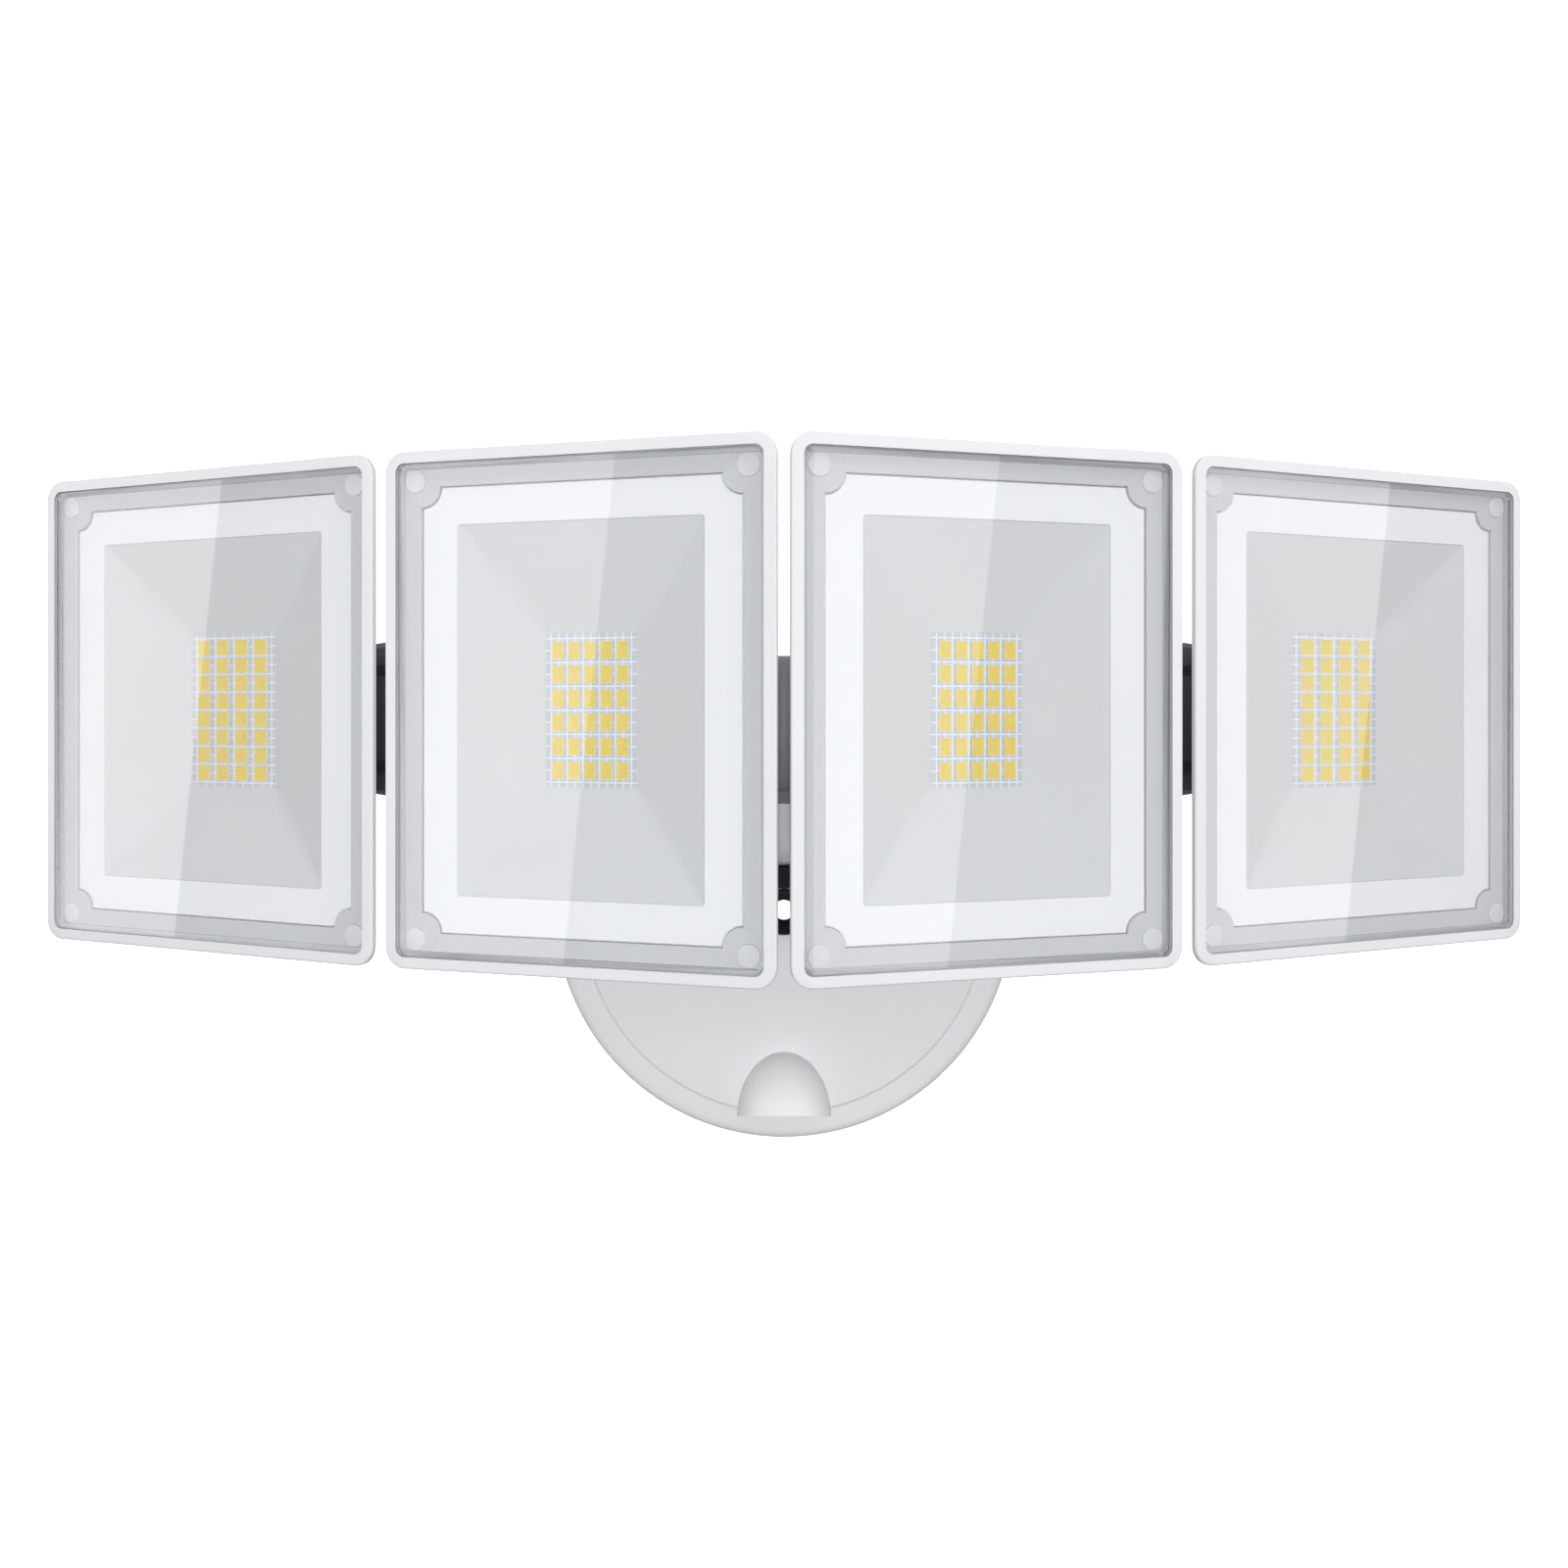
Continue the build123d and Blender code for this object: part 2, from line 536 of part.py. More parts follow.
def knuckle():
    """Tilting barrel with a spigot captured in the hub and an eye for the inner head."""
    body = rod_x(HUB_RADIUS, KNUCKLE_IN, KNUCKLE_IN + KNUCKLE_RIM, HUB_Y, HUB_Z)
    body += cone_x(HUB_RADIUS, KNUCKLE_END_RADIUS, KNUCKLE_IN + KNUCKLE_RIM, KNUCKLE_OUT, HUB_Y, HUB_Z)
    flange_out = HUB_HALF_WIDTH - HUB_WALL - SIDE_PLAY
    flange_in = flange_out - SPIGOT_FLANGE_THICK
    body += rod_x(SPIGOT_RADIUS, flange_in, KNUCKLE_IN + 1, HUB_Y, HUB_Z)
    body += rod_x(SPIGOT_FLANGE_RADIUS, flange_in, flange_out, HUB_Y, HUB_Z)
    pin_x, pin_y = INNER_PIN
    low, high = HUB_Z - EYE_HALF_HEIGHT, HUB_Z + EYE_HALF_HEIGHT
    body += block(KNUCKLE_OUT - WEB_ROOT, pin_x, pin_y - WEB_THICK / 2, pin_y + WEB_THICK / 2, low, high)
    body += rod_z(EYE_RADIUS, low, high, *INNER_PIN)
    body -= rod_x(SPIGOT_BORE, flange_in - 1, KNUCKLE_OUT - KNUCKLE_RIM, HUB_Y, HUB_Z)
    return body - rod_z(PIN_RADIUS + RUNNING, low - 1, high + 1, *INNER_PIN)


# ---------------------------------------------------------------- hub and neck
HUB_SCREW_Z = HUB_RADIUS - HUB_WALL - SCREW_HEAD_RADIUS - HUB_SCREW_MARGIN
HUB_SCREW_SEAT = HUB_Y + HUB_SCREW_SEAT_DEPTH
WIRE_Y = HUB_Y + WIRE_OFFSET
WIRE_Z = (NECK_NOSE_BOTTOM + HUB_Z - HUB_RADIUS) / 2


def hub():
    """Dark hub that holds both spigots, with a foot that stands on the neck."""
    foot_y, foot_z = HUB_FOOT
    body = rod_x(HUB_RADIUS, -HUB_HALF_WIDTH, HUB_HALF_WIDTH, HUB_Y, HUB_Z)
    body += block(-HUB_HALF_WIDTH, HUB_HALF_WIDTH, HUB_Y - foot_y / 2, HUB_Y + foot_y / 2,
                  HUB_Z - HUB_RADIUS, HUB_Z - HUB_RADIUS + foot_z)
    room = HUB_HALF_WIDTH - HUB_WALL
    body -= rod_x(HUB_RADIUS - HUB_WALL, -room, room, HUB_Y, HUB_Z)
    for side in (1, -1):
        z = HUB_Z + side * HUB_SCREW_Z
        post = rod_y(HUB_POST_RADIUS, HUB_Y - HUB_RADIUS, HUB_Y + HUB_RADIUS, 0, z)
        body += post & rod_x(HUB_RADIUS, -HUB_HALF_WIDTH, HUB_HALF_WIDTH, HUB_Y, HUB_Z)
    body -= rod_x(SPIGOT_RADIUS + RUNNING, -HUB_HALF_WIDTH - 1, HUB_HALF_WIDTH + 1, HUB_Y, HUB_Z)
    for side in (1, -1):
        z = HUB_Z + side * HUB_SCREW_Z
        body -= rod_y(SCREW_RADIUS + FIT, HUB_Y - HUB_SCREW_TIP - OVERLAP, HUB_Y + HUB_RADIUS, 0, z)
        body -= rod_y(SCREW_HEAD_RADIUS + EDGE_GAP, HUB_SCREW_SEAT, HUB_Y + HUB_RADIUS + 1, 0, z)
    duct = HUB_WALL + NECK_WIRE_RADIUS
    return body - rod_z(NECK_WIRE_RADIUS, HUB_Z - HUB_RADIUS - 1, HUB_Z - HUB_RADIUS + duct, 0, WIRE_Y)


def half(shape, front):
    """Front or rear half of the hub."""
    reach = 2 * HUB_RADIUS
    y0, y1 = (HUB_Y - reach, HUB_Y) if front else (HUB_Y, HUB_Y + reach)
    return shape & block(-reach, reach, y0, y1, HUB_Z - reach, HUB_Z + reach)


def hub_screws():
    """Two screws that close the hub from behind."""
    screws = []
    for side in (1, -1):
        z = HUB_Z + side * HUB_SCREW_Z
        shaft = rod_y(SCREW_RADIUS, HUB_Y - HUB_SCREW_TIP, HUB_SCREW_SEAT + OVERLAP, 0, z)
        head = rod_y(SCREW_HEAD_RADIUS, HUB_SCREW_SEAT, HUB_SCREW_SEAT + SCREW_HEAD_HEIGHT, 0, z)
        screws.append(shaft + head)
    return one(screws)


def neck():
    """White arm from the front disc to the underside of the hub."""
    front = HUB_Y - NECK_FRONT
    top = HUB_Z - HUB_RADIUS
    side = Polyline((DISC_FRONT, NECK_BOTTOM), (front, NECK_NOSE_BOTTOM), (front, top), (DISC_FRONT, top),
                    close=True)
    body = extrude(make_face(Plane.YZ * side), NECK_HALF_WIDTH, both=True)
    nose = [e for e in body.edges().filter_by(Axis.X)
            if abs(e.center().Y - front) < 0.01 and e.center().Z < top - 1]
    body = fillet(nose, NECK_ROUND)
    body -= rod_z(NECK_WIRE_RADIUS, WIRE_Z - NECK_WIRE_RADIUS, top + 1, 0, WIRE_Y)
    return body - rod_y(NECK_WIRE_RADIUS, WIRE_Y, DISC_FRONT + 1, 0, WIRE_Z)


def neck_seal():
    """Dark sealing block under the neck's foot."""
    top = NECK_BOTTOM - FIT
    body = block(-SEAL_HALF_WIDTH, SEAL_HALF_WIDTH, DISC_FRONT - SEAL_THICK, DISC_FRONT,
                 top - SEAL_HEIGHT, top)
    return body - rod_y(GROMMET_RADIUS + EDGE_GAP, DISC_FRONT - 2 * SEAL_THICK, DISC_FRONT + 1)


# ---------------------------------------------------------------- base
def ring_points(radius, start, count):
    """Points evenly round a circle in the XZ plane."""
    return [turn(radius, 0, start + i * 360 / count) for i in range(count)]


DISC_SCREWS = ring_points(DISC_SCREW_CIRCLE, 45, 4)
BACK_SCREWS = ring_points(BACK_SCREW_CIRCLE, 90, 3)
KNOB_XS = (-KNOB_PITCH, 0.0, KNOB_PITCH)


def knob_floor(x):
    """Height of the base's outside at a knob."""
    return -sqrt(BASE_RADIUS ** 2 - x ** 2)


def canopy():
    """White base ring with a ledge for the front disc and bosses for the back plate."""
    body = rod_y(BASE_RADIUS, -BASE_DEPTH, -WALL_GASKET_THICK)
    body = fillet(body.faces().sort_by(Axis.Y)[0].edges(), BASE_ROUND)
    body -= rod_y(BASE_INSIDE, -BASE_DEPTH + BASE_WALL, 0)
    body -= rod_y(DISC_RADIUS + EDGE_GAP, -BASE_DEPTH - 1, 0)
    rim = DISC_RADIUS + EDGE_GAP
    ledge = rod_y(rim + LEDGE_PLATE, -BASE_DEPTH, LEDGE_OUT_Y + LEDGE_PLATE)
    ledge -= rod_y(rim, -BASE_DEPTH - 1, LEDGE_OUT_Y)
    ledge -= rod_y(rim - LEDGE_WIDTH, -BASE_DEPTH, 0)
    body += ledge
    for x, z in BACK_SCREWS:
        body += rod_y(SCREW_BOSS_RADIUS, LEDGE_OUT_Y, -BACK_PLATE_THICK, x, z)
        body -= rod_y(SCREW_RADIUS + FIT, LEDGE_OUT_Y + 3, 0, x, z)
    for x, z in DISC_SCREWS:
        body -= rod_y(SCREW_RADIUS + FIT, LEDGE_OUT_Y - 1, LEDGE_OUT_Y + 3, x, z)
    for x in KNOB_XS:
        body -= rod_z(KNOB_RADIUS + KNOB_GAP, -BASE_RADIUS - 1, knob_floor(x) + 2 * BASE_WALL, x, -KNOB_DEPTH)
    return body


def front_disc():
    """Raised round cover with a skirt that stands on the base's ledge."""
    back = DISC_FRONT + BASE_WALL
    body = rod_y(DISC_RADIUS, DISC_FRONT, LEDGE_OUT_Y)
    body = fillet(body.faces().sort_by(Axis.Y)[0].edges(), DISC_ROUND)
    body -= rod_y(DISC_RADIUS - BASE_WALL, back, 0)
    for x, z in DISC_SCREWS:
        body += rod_y(SCREW_BOSS_RADIUS, back - 0.5, LEDGE_OUT_Y, x, z)
        body -= rod_y(SCREW_RADIUS + FIT, back + 1, 0, x, z)
    body -= rod_y(GROMMET_RADIUS, DISC_FRONT - 1, 0)
    body -= rod_y(NECK_WIRE_RADIUS, DISC_FRONT - 1, 0, 0, WIRE_Z)
    z = HOOD_BOTTOM + SENSOR_RISE
    w, h = SENSOR_WINDOW
    return body - block(-w / 2, w / 2, DISC_FRONT - 1, back + 1, z - h / 2 + 1, z + h / 2 - 1)


def screw_set(points, seat, length):
    """Screws parallel to Y with their heads towards the wall."""
    screws = []
    for x, z in points:
        shaft = rod_y(SCREW_RADIUS, seat - length, seat + 0.5, x, z)
        screws.append(shaft + rod_y(SCREW_HEAD_RADIUS, seat, seat + SCREW_HEAD_HEIGHT, x, z))
    return one(screws)


def back_plate():
    """Cover on the wall side with the cable entry and recessed screw seats."""
    body = rod_y(BASE_INSIDE - EDGE_GAP, -BACK_PLATE_THICK, 0)
    body -= rod_y(CABLE_ENTRY_RADIUS, -BACK_PLATE_THICK - 1, 1)
    for x, z in BACK_SCREWS:
        body -= rod_y(SCREW_RADIUS + FIT, -BACK_PLATE_THICK - 1, 1, x, z)
        body -= rod_y(SCREW_HEAD_RADIUS + EDGE_GAP, -SCREW_HEAD_HEIGHT - 0.1, 1, x, z)
    return body


def wall_gasket():
    """Foam ring between the base's edge and the wall."""
    return rod_y(BASE_RADIUS - EDGE_GAP, -WALL_GASKET_THICK, 0) - rod_y(BASE_INSIDE + 0.05, -9, 9)


def centre_grommet():
    """Black rubber ring in the disc's middle, countersunk from the front."""
    front = DISC_FRONT - GROMMET_PROUD
    back = DISC_FRONT + BASE_WALL
    body = rod_y(GROMMET_RADIUS, front, back) + rod_y(GROMMET_RADIUS + 1.6, back, back + 1.2)
    body -= cone_y(GROMMET_RADIUS - 0.2, CENTRE_HOLE_RADIUS, front, back - 0.8)
    return body - rod_y(CENTRE_HOLE_RADIUS, front - 1, back + 2)


def driver_case():
    """Sealed LED driver, beside the cable entry."""
    out, near = DRIVER_INSET - BASE_RADIUS, -CABLE_ENTRY_RADIUS - DRIVER_ENTRY_GAP
    back = -BACK_PLATE_THICK
    half = -min(z for _, z in BACK_SCREWS) - SCREW_BOSS_RADIUS - DRIVER_BOSS_GAP
    body = block(out, near, back - DRIVER_THICK, back, -half, half)
    return fillet(body.edges().filter_by(Axis.Y), DRIVER_ROUND)


# ---------------------------------------------------------------- sensor
def hood_form(shrink):
    """Bullet-shaped form of the hood, drawn in by a wall thickness."""
    a = HOOD_HALF_WIDTH - shrink
    b = HOOD_HEIGHT - shrink
    front = HOOD_AXIS_Y
    arch = EllipticalCenterArc((0, 0), a, b, start_angle=0, arc_size=90)
    quarter = make_face([arch, Line((0, b), (0, 0)), Line((0, 0), (a, 0))])
    dome = Pos(0, front, HOOD_BOTTOM) * revolve(Plane.XZ * quarter, Axis.Z)
    arch = EllipticalCenterArc((0, 0), a, b, start_angle=0, arc_size=180)
    full = Plane.XZ * make_face([arch, Line((-a, 0), (a, 0))])
    straight = extrude(Pos(0, DISC_FRONT, HOOD_BOTTOM) * full, HOOD_STRAIGHT, dir=(0, -1, 0))
    return dome + straight


def above_mouth(offset):
    """Everything above the hood's sloping mouth, raised by an offset."""
    size = 80.0
    pivot = Pos(0, DISC_FRONT, HOOD_BOTTOM) * Rot(-HOOD_SLOPE, 0, 0)
    return pivot * block(-size, size, -size, size, offset, size)


def front_of_disc():
    """Space in front of the raised disc."""
    return block(-40, 40, DISC_FRONT - 60, DISC_FRONT, -120, 40)


def sensor_hood():
    """White bullet-shaped hood, open below."""
    shell = hood_form(0) - hood_form(HOOD_WALL)
    return shell & above_mouth(0) & front_of_disc()


def sensor_lens():
    """Milky window in the hood's mouth."""
    fill = hood_form(HOOD_WALL + 0.15) & above_mouth(SENSOR_LENS_SETBACK) & front_of_disc()
    return fill - above_mouth(SENSOR_LENS_SETBACK + SENSOR_LENS_THICK)


def sensor_board():
    """Small board behind the disc that carries both sensors."""
    w, h = SENSOR_WINDOW
    z = HOOD_BOTTOM + SENSOR_RISE + 2.5
    front = DISC_FRONT + BASE_WALL + 1.0
    return block(-w / 2 - 1, w / 2 + 1, front, front + PCB_THICK, z - h / 2, z + h / 2)


def sensor_can(radius, x, reach):
    """Round sensor that stands on the sensor board and looks through the disc's window."""
    board = DISC_FRONT + BASE_WALL + 1.0
    can = rod_y(radius, DISC_FRONT - reach, board, x, HOOD_BOTTOM + SENSOR_RISE)
    return chamfer(can.faces().sort_by(Axis.Y)[0].edges(), 0.4)


# ---------------------------------------------------------------- controls
CONTROL_Z = -BASE_INSIDE + CONTROL_RISE


def control_board():
    """Board across the bottom of the base with three trimmers."""
    half_width = KNOB_PITCH + 2 * TRIMMER_HALF
    front = LEDGE_OUT_Y + LEDGE_PLATE + EDGE_GAP
    back = -BACK_PLATE_THICK - 1.5
    body = block(-half_width, half_width, front, back, CONTROL_Z, CONTROL_Z + PCB_THICK)
    for x in KNOB_XS:
        body += block(x - TRIMMER_HALF, x + TRIMMER_HALF, -KNOB_DEPTH - TRIMMER_HALF,
                      -KNOB_DEPTH + TRIMMER_HALF, CONTROL_Z, CONTROL_Z + TRIMMER_HEIGHT)
    for x in KNOB_XS:
        body -= rod_z(KNOB_STEM_RADIUS + RUNNING, CONTROL_Z - 1, CONTROL_Z + STEM_BORE, x, -KNOB_DEPTH)
    return body


def knob(x):
    """Trim knob with a pointer slot, on a stem that turns in its trimmer."""
    low = knob_floor(x) - KNOB_PROUD
    body = rod_z(KNOB_RADIUS, low, low + KNOB_HEIGHT, x, -KNOB_DEPTH)
    body = chamfer(body.faces().sort_by(Axis.Z)[0].edges(), 0.5)
    body += rod_z(KNOB_STEM_RADIUS, low + KNOB_HEIGHT - 1, CONTROL_Z + STEM_BORE - EDGE_GAP, x, -KNOB_DEPTH)
    return body - block(x - 0.6, x + 0.6, -KNOB_DEPTH - KNOB_RADIUS, -KNOB_DEPTH + 1.5, low - 1, low + 1.0)


# ---------------------------------------------------------------- files
def save(name, shape):
    """Write one node."""
    export_step(shape, f"parts/{name}.step")


def save_pair(name, shape):
    """Write a right-hand node and its mirror image."""
    save(f"{name}_right", shape)
    save(f"{name}_left", mirror(shape, about=Plane.YZ))


def save_head(name, pose, board, bracket, low, high):
    """Write every piece of one pair of heads."""
    pieces = {
        "housing": housing(pose.width, board, low, high),
        "lens": lens(pose.width),
        "lens_gasket": lens_gasket(pose.width),
        "reflector": reflector(pose.width, board),
        "led_board": led_board(board),
        "led_chips": led_chips(board),
        "lens_screws": lens_screws(pose.width),
        "bracket": bracket,
    }
    for piece, shape in pieces.items():
        save_pair(f"{name}_{piece}", pose.place(shape))


def main():
    """Write all nodes."""
    os.makedirs("parts", exist_ok=True)
    inner_keep = PIN_HALF + 1.5
    outer_keep = OUTER_WEB_HEIGHT[0] / 2
    save_head("inner", INNER, INNER_BOARD, inner_bracket(), -HUB_DROP - inner_keep, -HUB_DROP + inner_keep)
    save_head("outer", OUTER, OUTER_BOARD, outer_bracket(), -OUTER_EYE_DROP - outer_keep,
              -OUTER_EYE_DROP + outer_keep)
    save_pair("inner_hinge_pin", hinge_pin(INNER_PIN, HUB_Z))
    save_pair("outer_hinge_pin", hinge_pin(OUTER_PIN, HEAD_RISE - OUTER_EYE_DROP))
    save_pair("tilt_knuckle", knuckle())
    whole_hub = hub()
    save("hub_front", half(whole_hub, True))
    save("hub_rear", half(whole_hub, False))
    save("hub_screws", hub_screws())
    save("neck", neck())
    save("neck_seal", neck_seal())
    save("canopy", canopy())
    save("front_disc", front_disc())
    save("disc_screws", screw_set(DISC_SCREWS, LEDGE_OUT_Y + LEDGE_PLATE, 8.0))
    save("back_plate", back_plate())
    save("back_plate_screws", screw_set(BACK_SCREWS, -SCREW_HEAD_HEIGHT - 0.1, 10.0))
    save("wall_gasket", wall_gasket())
    save("centre_grommet", centre_grommet())
    save("driver_case", driver_case())
    save("sensor_hood", sensor_hood())
    save("sensor_lens", sensor_lens())
    save("sensor_board", sensor_board())
    save("motion_sensor", sensor_can(PIR_RADIUS, 0, 3.0))
    save("light_sensor", sensor_can(PHOTOCELL_RADIUS, PHOTOCELL_OFFSET, 1.5))
    save("control_board", control_board())
    for name, x in zip(("time_knob", "light_knob", "range_knob"), KNOB_XS):
        save(name, knob(x))


main()
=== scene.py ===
"""Looks for the four-head motion-sensor floodlight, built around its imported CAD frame."""
import json
from math import atan2, cos, pi, radians, sin

import bmesh
import bpy
from bpy.props import FloatProperty, FloatVectorProperty, PointerProperty
from mathutils import Matrix, Vector


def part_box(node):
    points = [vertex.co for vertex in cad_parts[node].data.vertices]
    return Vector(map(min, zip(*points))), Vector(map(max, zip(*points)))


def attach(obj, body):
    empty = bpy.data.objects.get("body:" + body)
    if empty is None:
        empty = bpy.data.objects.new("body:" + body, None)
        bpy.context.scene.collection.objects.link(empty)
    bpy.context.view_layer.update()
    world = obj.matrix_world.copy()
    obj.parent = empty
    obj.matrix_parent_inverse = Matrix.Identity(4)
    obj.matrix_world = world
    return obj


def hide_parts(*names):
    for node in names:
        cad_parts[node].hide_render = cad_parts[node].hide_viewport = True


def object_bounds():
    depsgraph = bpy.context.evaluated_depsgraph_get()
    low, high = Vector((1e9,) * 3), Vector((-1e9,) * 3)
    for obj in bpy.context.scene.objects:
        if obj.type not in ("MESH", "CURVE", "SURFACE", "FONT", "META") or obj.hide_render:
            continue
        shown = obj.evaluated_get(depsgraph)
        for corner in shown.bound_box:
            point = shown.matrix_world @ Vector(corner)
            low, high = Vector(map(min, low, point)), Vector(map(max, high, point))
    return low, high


bl_info = {
    "name": "Floodlight Looks",
    "version": (1, 0, 0),
    "blender": (4, 5, 0),
    "location": "3D View > Sidebar > Floodlight",
    "description": "Builds the visible pieces of a four-head floodlight around its CAD frame",
    "category": "Object",
}

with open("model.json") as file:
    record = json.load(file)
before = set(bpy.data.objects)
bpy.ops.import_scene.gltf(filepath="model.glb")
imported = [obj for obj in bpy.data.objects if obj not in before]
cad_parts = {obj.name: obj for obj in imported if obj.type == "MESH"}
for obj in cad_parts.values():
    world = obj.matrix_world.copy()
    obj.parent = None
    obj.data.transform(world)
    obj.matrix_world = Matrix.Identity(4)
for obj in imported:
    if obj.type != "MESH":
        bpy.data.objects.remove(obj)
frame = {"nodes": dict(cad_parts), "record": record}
CAD_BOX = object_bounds()
SIDES = ("left", "right")
ROWS = ("inner", "outer")
HEADS = [(row, side) for row in ROWS for side in SIDES]
ARC = 8                     # steps round a rounded corner
ROUND_STEPS = 96            # steps round a large turned piece
SMALL_STEPS = 40            # steps round a small turned piece
FIN_COUNT = 9
FUNNEL_STEPS = 6
CONCAVE = 0.086             # bevel profile of a round notch
SPREAD = 0.01               # spacing of loops while they are bridged
FLAT_AREA = 1.2e-5          # faces larger than this are flat panels


# ---------------------------------------------------------------- settings
def length(name, description, default):
    """A size in metres that a user may change."""
    return FloatProperty(name=name, description=description, default=default,
                         min=0.0, precision=5, unit="LENGTH")


def tint(name, description, default):
    """A colour that a user may change."""
    return FloatVectorProperty(name=name, description=description, default=default,
                               min=0.0, max=1.0, size=3, subtype="COLOR")


class FLOOD_PG_head(bpy.types.PropertyGroup):
    """Sizes of one lamp head."""
    corner: length("Corner", "Corner radius of the rim", 0.0052)
    depth: length("Depth", "Rim front to the back face", 0.0270)
    rim_depth: length("Rim depth", "Straight part of the rim before the taper", 0.0015)
    rim_band: length("Rim band", "Width of the flat rim round the lens", 0.0026)
    rim_round: length("Rim edge", "Rounding of the rim's outer edge", 0.0006)
    back_inset: length("Back inset", "Back face in from the rim", 0.0220)
    shell: length("Wall", "Wall of the housing", 0.0020)
    ledge_thick: length("Ledge thickness", "Thickness of the ledge under the lens", 0.0016)
    ledge_inset: length("Ledge inset", "Inner edge of the ledge from the rim", 0.0084)
    boss_inset: length("Boss inset", "Lens bosses from the rim", 0.0070)
    boss: length("Boss radius", "Radius of the lens bosses", 0.0028)
    screw_head: length("Screw head", "Radius of a lens screw's head", 0.0017)
    screw_shaft: length("Screw shaft", "Radius of a lens screw's shaft", 0.0010)
    screw_rise: length("Screw head height", "Height of a lens screw's head", 0.0016)
    seat: length("Seat radius", "Radius of the seats under the bosses", 0.0049)
    gasket_thick: length("Gasket thickness", "Gasket under the lens", 0.0005)
    gasket_foot: length("Gasket foot", "Width of the gasket under the lens", 0.0015)
    gasket_lip: length("Gasket lip", "Gasket showing round the lens", 0.0003)
    fin_thick: length("Fin thickness", "Thickness of a cooling fin", 0.0018)
    fin_margin: length("Fin margin", "Fins in from the back face's edges", 0.0030)
    flange_front: length("Flange front", "Reflector flange behind the rim's front", 0.0040)
    flange_thick: length("Flange thickness", "Thickness of the reflector's flange", 0.0012)
    flange_inset: length("Flange inset", "Outer edge of the flange from the rim", 0.0085)
    flange_width: length("Flange width", "Width of the flange round the opening", 0.0095)
    notch: length("Notch radius", "Radius of the notches at the flange's corners", 0.0050)
    funnel_depth: length("Funnel depth", "Flange front to the LED board", 0.0080)
    crease: length("Crease radius", "Radius of the funnel's creases where they are softest", 0.0030)
    reflector_wall: length("Reflector wall", "Thickness of the funnel's walls", 0.0010)
    board_margin: length("Board margin", "Board hidden behind the window's edge", 0.0030)
    chip_sink: length("LED window", "Phosphor behind the front of an LED's frame", 0.000154)
    chip_wall: length("LED wall", "Width of the frame round an LED's phosphor", 0.00012)


class FLOOD_PG_arm(bpy.types.PropertyGroup):
    """Sizes of the brackets, hinges and knuckles."""
    plate: length("Plate", "Thickness of the bracket plates", 0.0032)
    edge: length("Edge", "Rounding of the arms' edges", 0.0005)
    eye: length("Eye radius", "Outer radius of the hinge eyes", 0.0065)
    eye_half: length("Eye half height", "Half the height of a hinge eye", 0.0110)
    play: length("Side play", "Gap between faces that pass each other", 0.0003)
    pin_half: length("Fork half height", "Half the height of a fork", 0.0153)
    pin: length("Pin radius", "Radius of the hinge pins", 0.0025)
    knuckle: length("Knuckle width", "Width of a tilting knuckle", 0.0062)
    knuckle_rim: length("Knuckle rim", "Straight part before a knuckle narrows", 0.0015)
    spigot: length("Spigot", "Radius of the spigot in the hub", 0.0090)
    flange: length("Spigot flange", "Radius of the flange inside the hub", 0.0120)
    spigot_step: length("Flange thickness", "Thickness of the flange inside the hub", 0.0021)
    knuckle_end: length("Knuckle end", "Radius of a knuckle's narrow end", 0.0125)
    inset: length("Inner plate inset", "Inner bracket in from the head's sides", 0.0230)
    pin_rise: length("Pin head height", "Height of a hinge pin's heads", 0.0022)
    web_start: length("Web start", "Outer web in from the head's near side", 0.0080)
    web_end: length("Web end place", "Far end of the outer web from the near side", 0.0500)
    web_tall: length("Web height", "Height of the outer web at the hinge", 0.0450)
    web_short: length("Web end", "Height of the outer web at its end", 0.0360)
    web_chamfer: length("Web chamfer", "Chamfer of the outer web's long edges", 0.0016)


class FLOOD_PG_base(bpy.types.PropertyGroup):
    """Sizes of the base, neck and sensor."""
    nose: length("Neck nose", "Rounding of the neck's nose", 0.0050)
    mouth: FloatProperty(name="Mouth slope", description="Slope of the hood's mouth in degrees", default=22.4)
    wall: length("Wall", "Wall of the moulded covers", 0.0025)
    edge_round: length("Base edge", "Rounding of the base's front edge", 0.0030)
    disc_round: length("Disc edge", "Rounding of the raised disc's front edge", 0.0011)
    bead: length("Small bead", "Rounding of small moulded edges", 0.0004)
    hole: length("Centre hole", "Radius of the hole in the middle", 0.0030)
    grommet: length("Grommet", "Outer radius of the black ring", 0.0066)
    gap: length("Ring gap", "Gap between the raised disc and the base ring", 0.0003)
    ledge: length("Ledge", "Width of the ledge under the raised disc", 0.0132)
    ledge_plate: length("Ledge plate", "Thickness of the ledge", 0.0020)
    hood_wall: length("Hood wall", "Wall of the sensor's hood", 0.0016)


